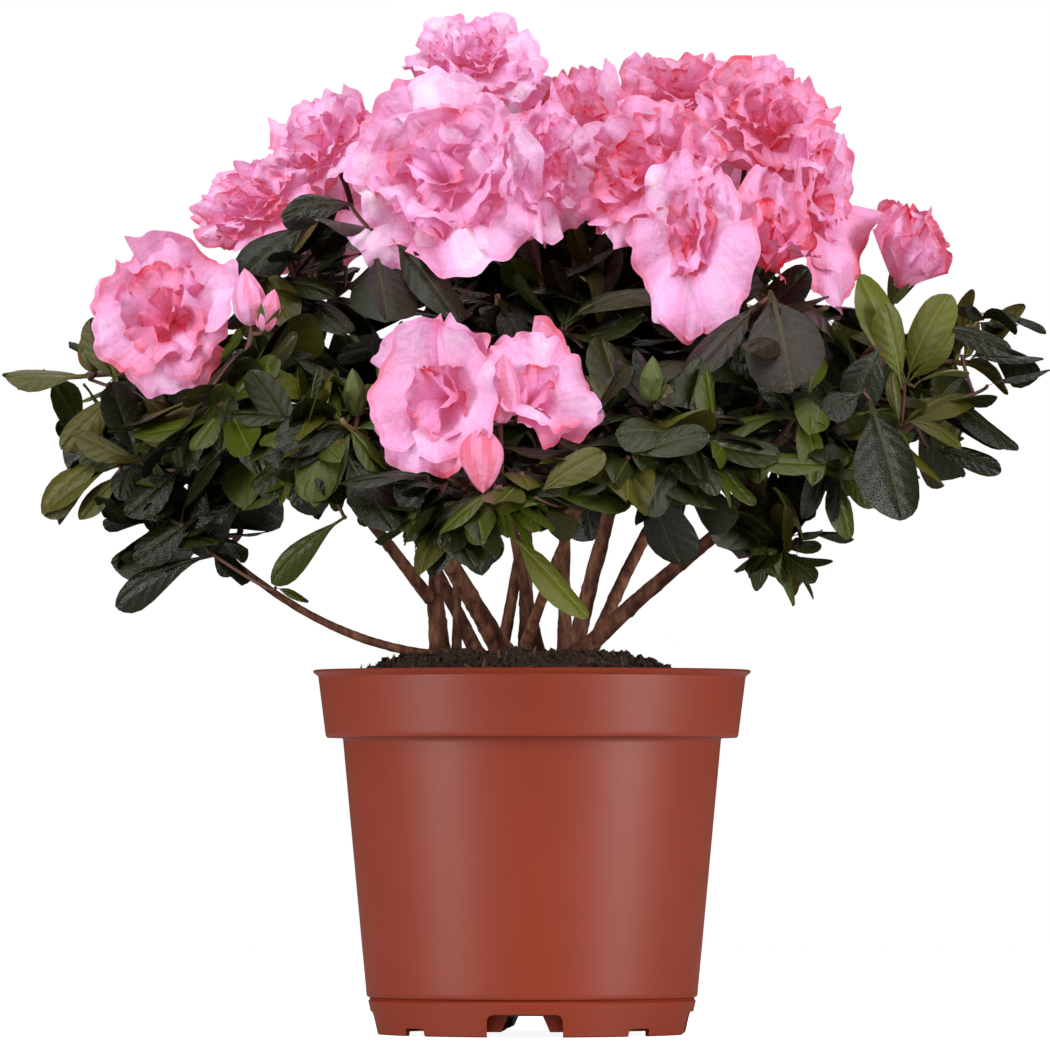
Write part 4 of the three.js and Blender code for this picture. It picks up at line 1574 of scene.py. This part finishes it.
# The kind gives the two tints that take turns round a flower bud, or green or brown for a leaf bud.
budSpecs = table("at facing size kind", {
    "striped": ((-0.0825, -0.056, 0.2100), (-0.12, -0.25, 0.95), (0.0050, 0.017), (8, 14)),
    "stripedSmall": ((-0.0790, -0.058, 0.2080), (0.25, -0.25, 0.90), (0.0036, 0.013), (6, 11)),
    "front": ((-0.0092, -0.108, 0.1790), (0.05, -0.15, 1.00), (0.0054, 0.020), (8, 12)),
    "hanging": ((-0.0150, -0.112, 0.1760), (0.05, -0.35, -0.95), (0.0064, 0.019), (5, 9)),
    "brown": ((-0.1304, -0.018, 0.1980), (-0.20, -0.20, 0.95), (0.0042, 0.013), "brown"),
    "greenLeft": ((-0.0509, -0.086, 0.1820), (-0.10, -0.20, 0.95), (0.0035, 0.014), "green"),
    "greenMiddle": ((-0.0428, -0.080, 0.1910), (0.10, -0.20, 0.95), (0.0032, 0.013), "green"),
    "greenRight": ((0.0342, -0.096, 0.1850), (0.05, -0.20, 0.95), (0.0036, 0.014), "green"),
})

budForm = {"sides": 20, "rings": 12, "ridges": 5, "ridge": 0.13, "twist": 3.2}


def addBud(shape, foot, axis, radius, length, pickSlot):
    side = anyAcross(axis)
    over = axis.cross(side)
    sides, rings, ridges, twist = (budForm[key] for key in ("sides", "rings", "ridges", "twist"))
    first = len(shape["verts"])
    for i in range(rings + 1):
        t = i / rings
        wide = radius * (math.sin(math.pi * min(1.0, 0.06 + t * 0.94)) ** 0.7) * (1.15 - 0.5 * t)
        for k in range(sides):
            angle = math.tau * k / sides
            ridge = 1 + budForm["ridge"] * math.sin(ridges * angle + twist * t)
            shape["verts"].append(foot + axis * length * t + spoke(side, over, angle) * wide * ridge)
    skinRings(shape, first, rings, sides,
              lambda i, k: pickSlot(math.sin(ridges * math.tau * k / sides + twist * i / rings), i / rings))


def makeBuds(shoots, twigs, green, materials):
    pink = newShape()
    for spec in budSpecs.values():
        foot, axis = Vector(spec["at"]), Vector(spec["facing"]).normalized()
        radius, length = spec["size"]
        kind = spec["kind"]
        if kind in ("green", "brown"):
            slot = 1 if kind == "brown" else 0
            addBud(green, foot, axis, radius, length, lambda stripe, t: slot if stripe < 0.6 else 0)
        else:
            addBud(pink, foot, axis, radius, length,
                   lambda stripe, t: round(lerp(*kind, smooth(-0.5, 0.7, stripe) * (1 - 0.5 * t))))
        addCalyx(green, foot + axis * stalkSpec["overlap"], axis)
        joinTwig(shoots, twigs, foot, axis, stalkSpec["budRadius"])
    buds = makeObject("flowerBuds", pink["verts"], pink["faces"], materials, pink["slots"])
    finishPiece(buds, "petal")


calyxSpec = {
    "lobes": 5,
    "drop": 0.004,
    "length": 0.0085,
    "flare": (0.0012, 0.0035),
    "keel": 0.0003,
    "outline": [(0.0, 0.0011), (0.35, 0.0017), (0.7, 0.0013), (1.0, 0.0002)],  # share along, half width
}


def addCalyx(shape, base, axis):
    spec = calyxSpec
    side = anyAcross(axis)
    over = axis.cross(side)
    near, flare = spec["flare"]
    for k in range(spec["lobes"]):
        out = spoke(side, over, math.tau * k / spec["lobes"])
        across = axis.cross(out)
        start = len(shape["verts"])
        for along, half in spec["outline"]:
            centre = base - axis * spec["drop"] + axis * spec["length"] * along
            centre += out * (near + flare * along)
            shape["verts"] += [centre - across * half, centre + out * spec["keel"], centre + across * half]
        for row in range(len(spec["outline"]) - 1):
            a = start + row * 3
            shape["faces"] += [(a, a + 1, a + 4, a + 3), (a + 1, a + 2, a + 5, a + 4)]
            shape["slots"] += [0, 0]


makePot()
makeCompost()
stemEnds = makeStems()
twigShape = newShape()
hubs = growHubs(stemEnds, twigShape)
shoots = growShoots(hubs, twigShape)
sprays = dealLeaves(shoots)
addOwnSprays(sprays, shoots, twigShape)
makeLeaves(sprays)
makeBlossom(shoots, twigShape)
twigFinishes = [grainFinish(name) for name in ("stemBark", "redTwig", "tanTwig")]
twigs = makeObject("twigs", twigShape["verts"], twigShape["faces"], twigFinishes, twigShape["slots"])
finishPiece(twigs, "bark")
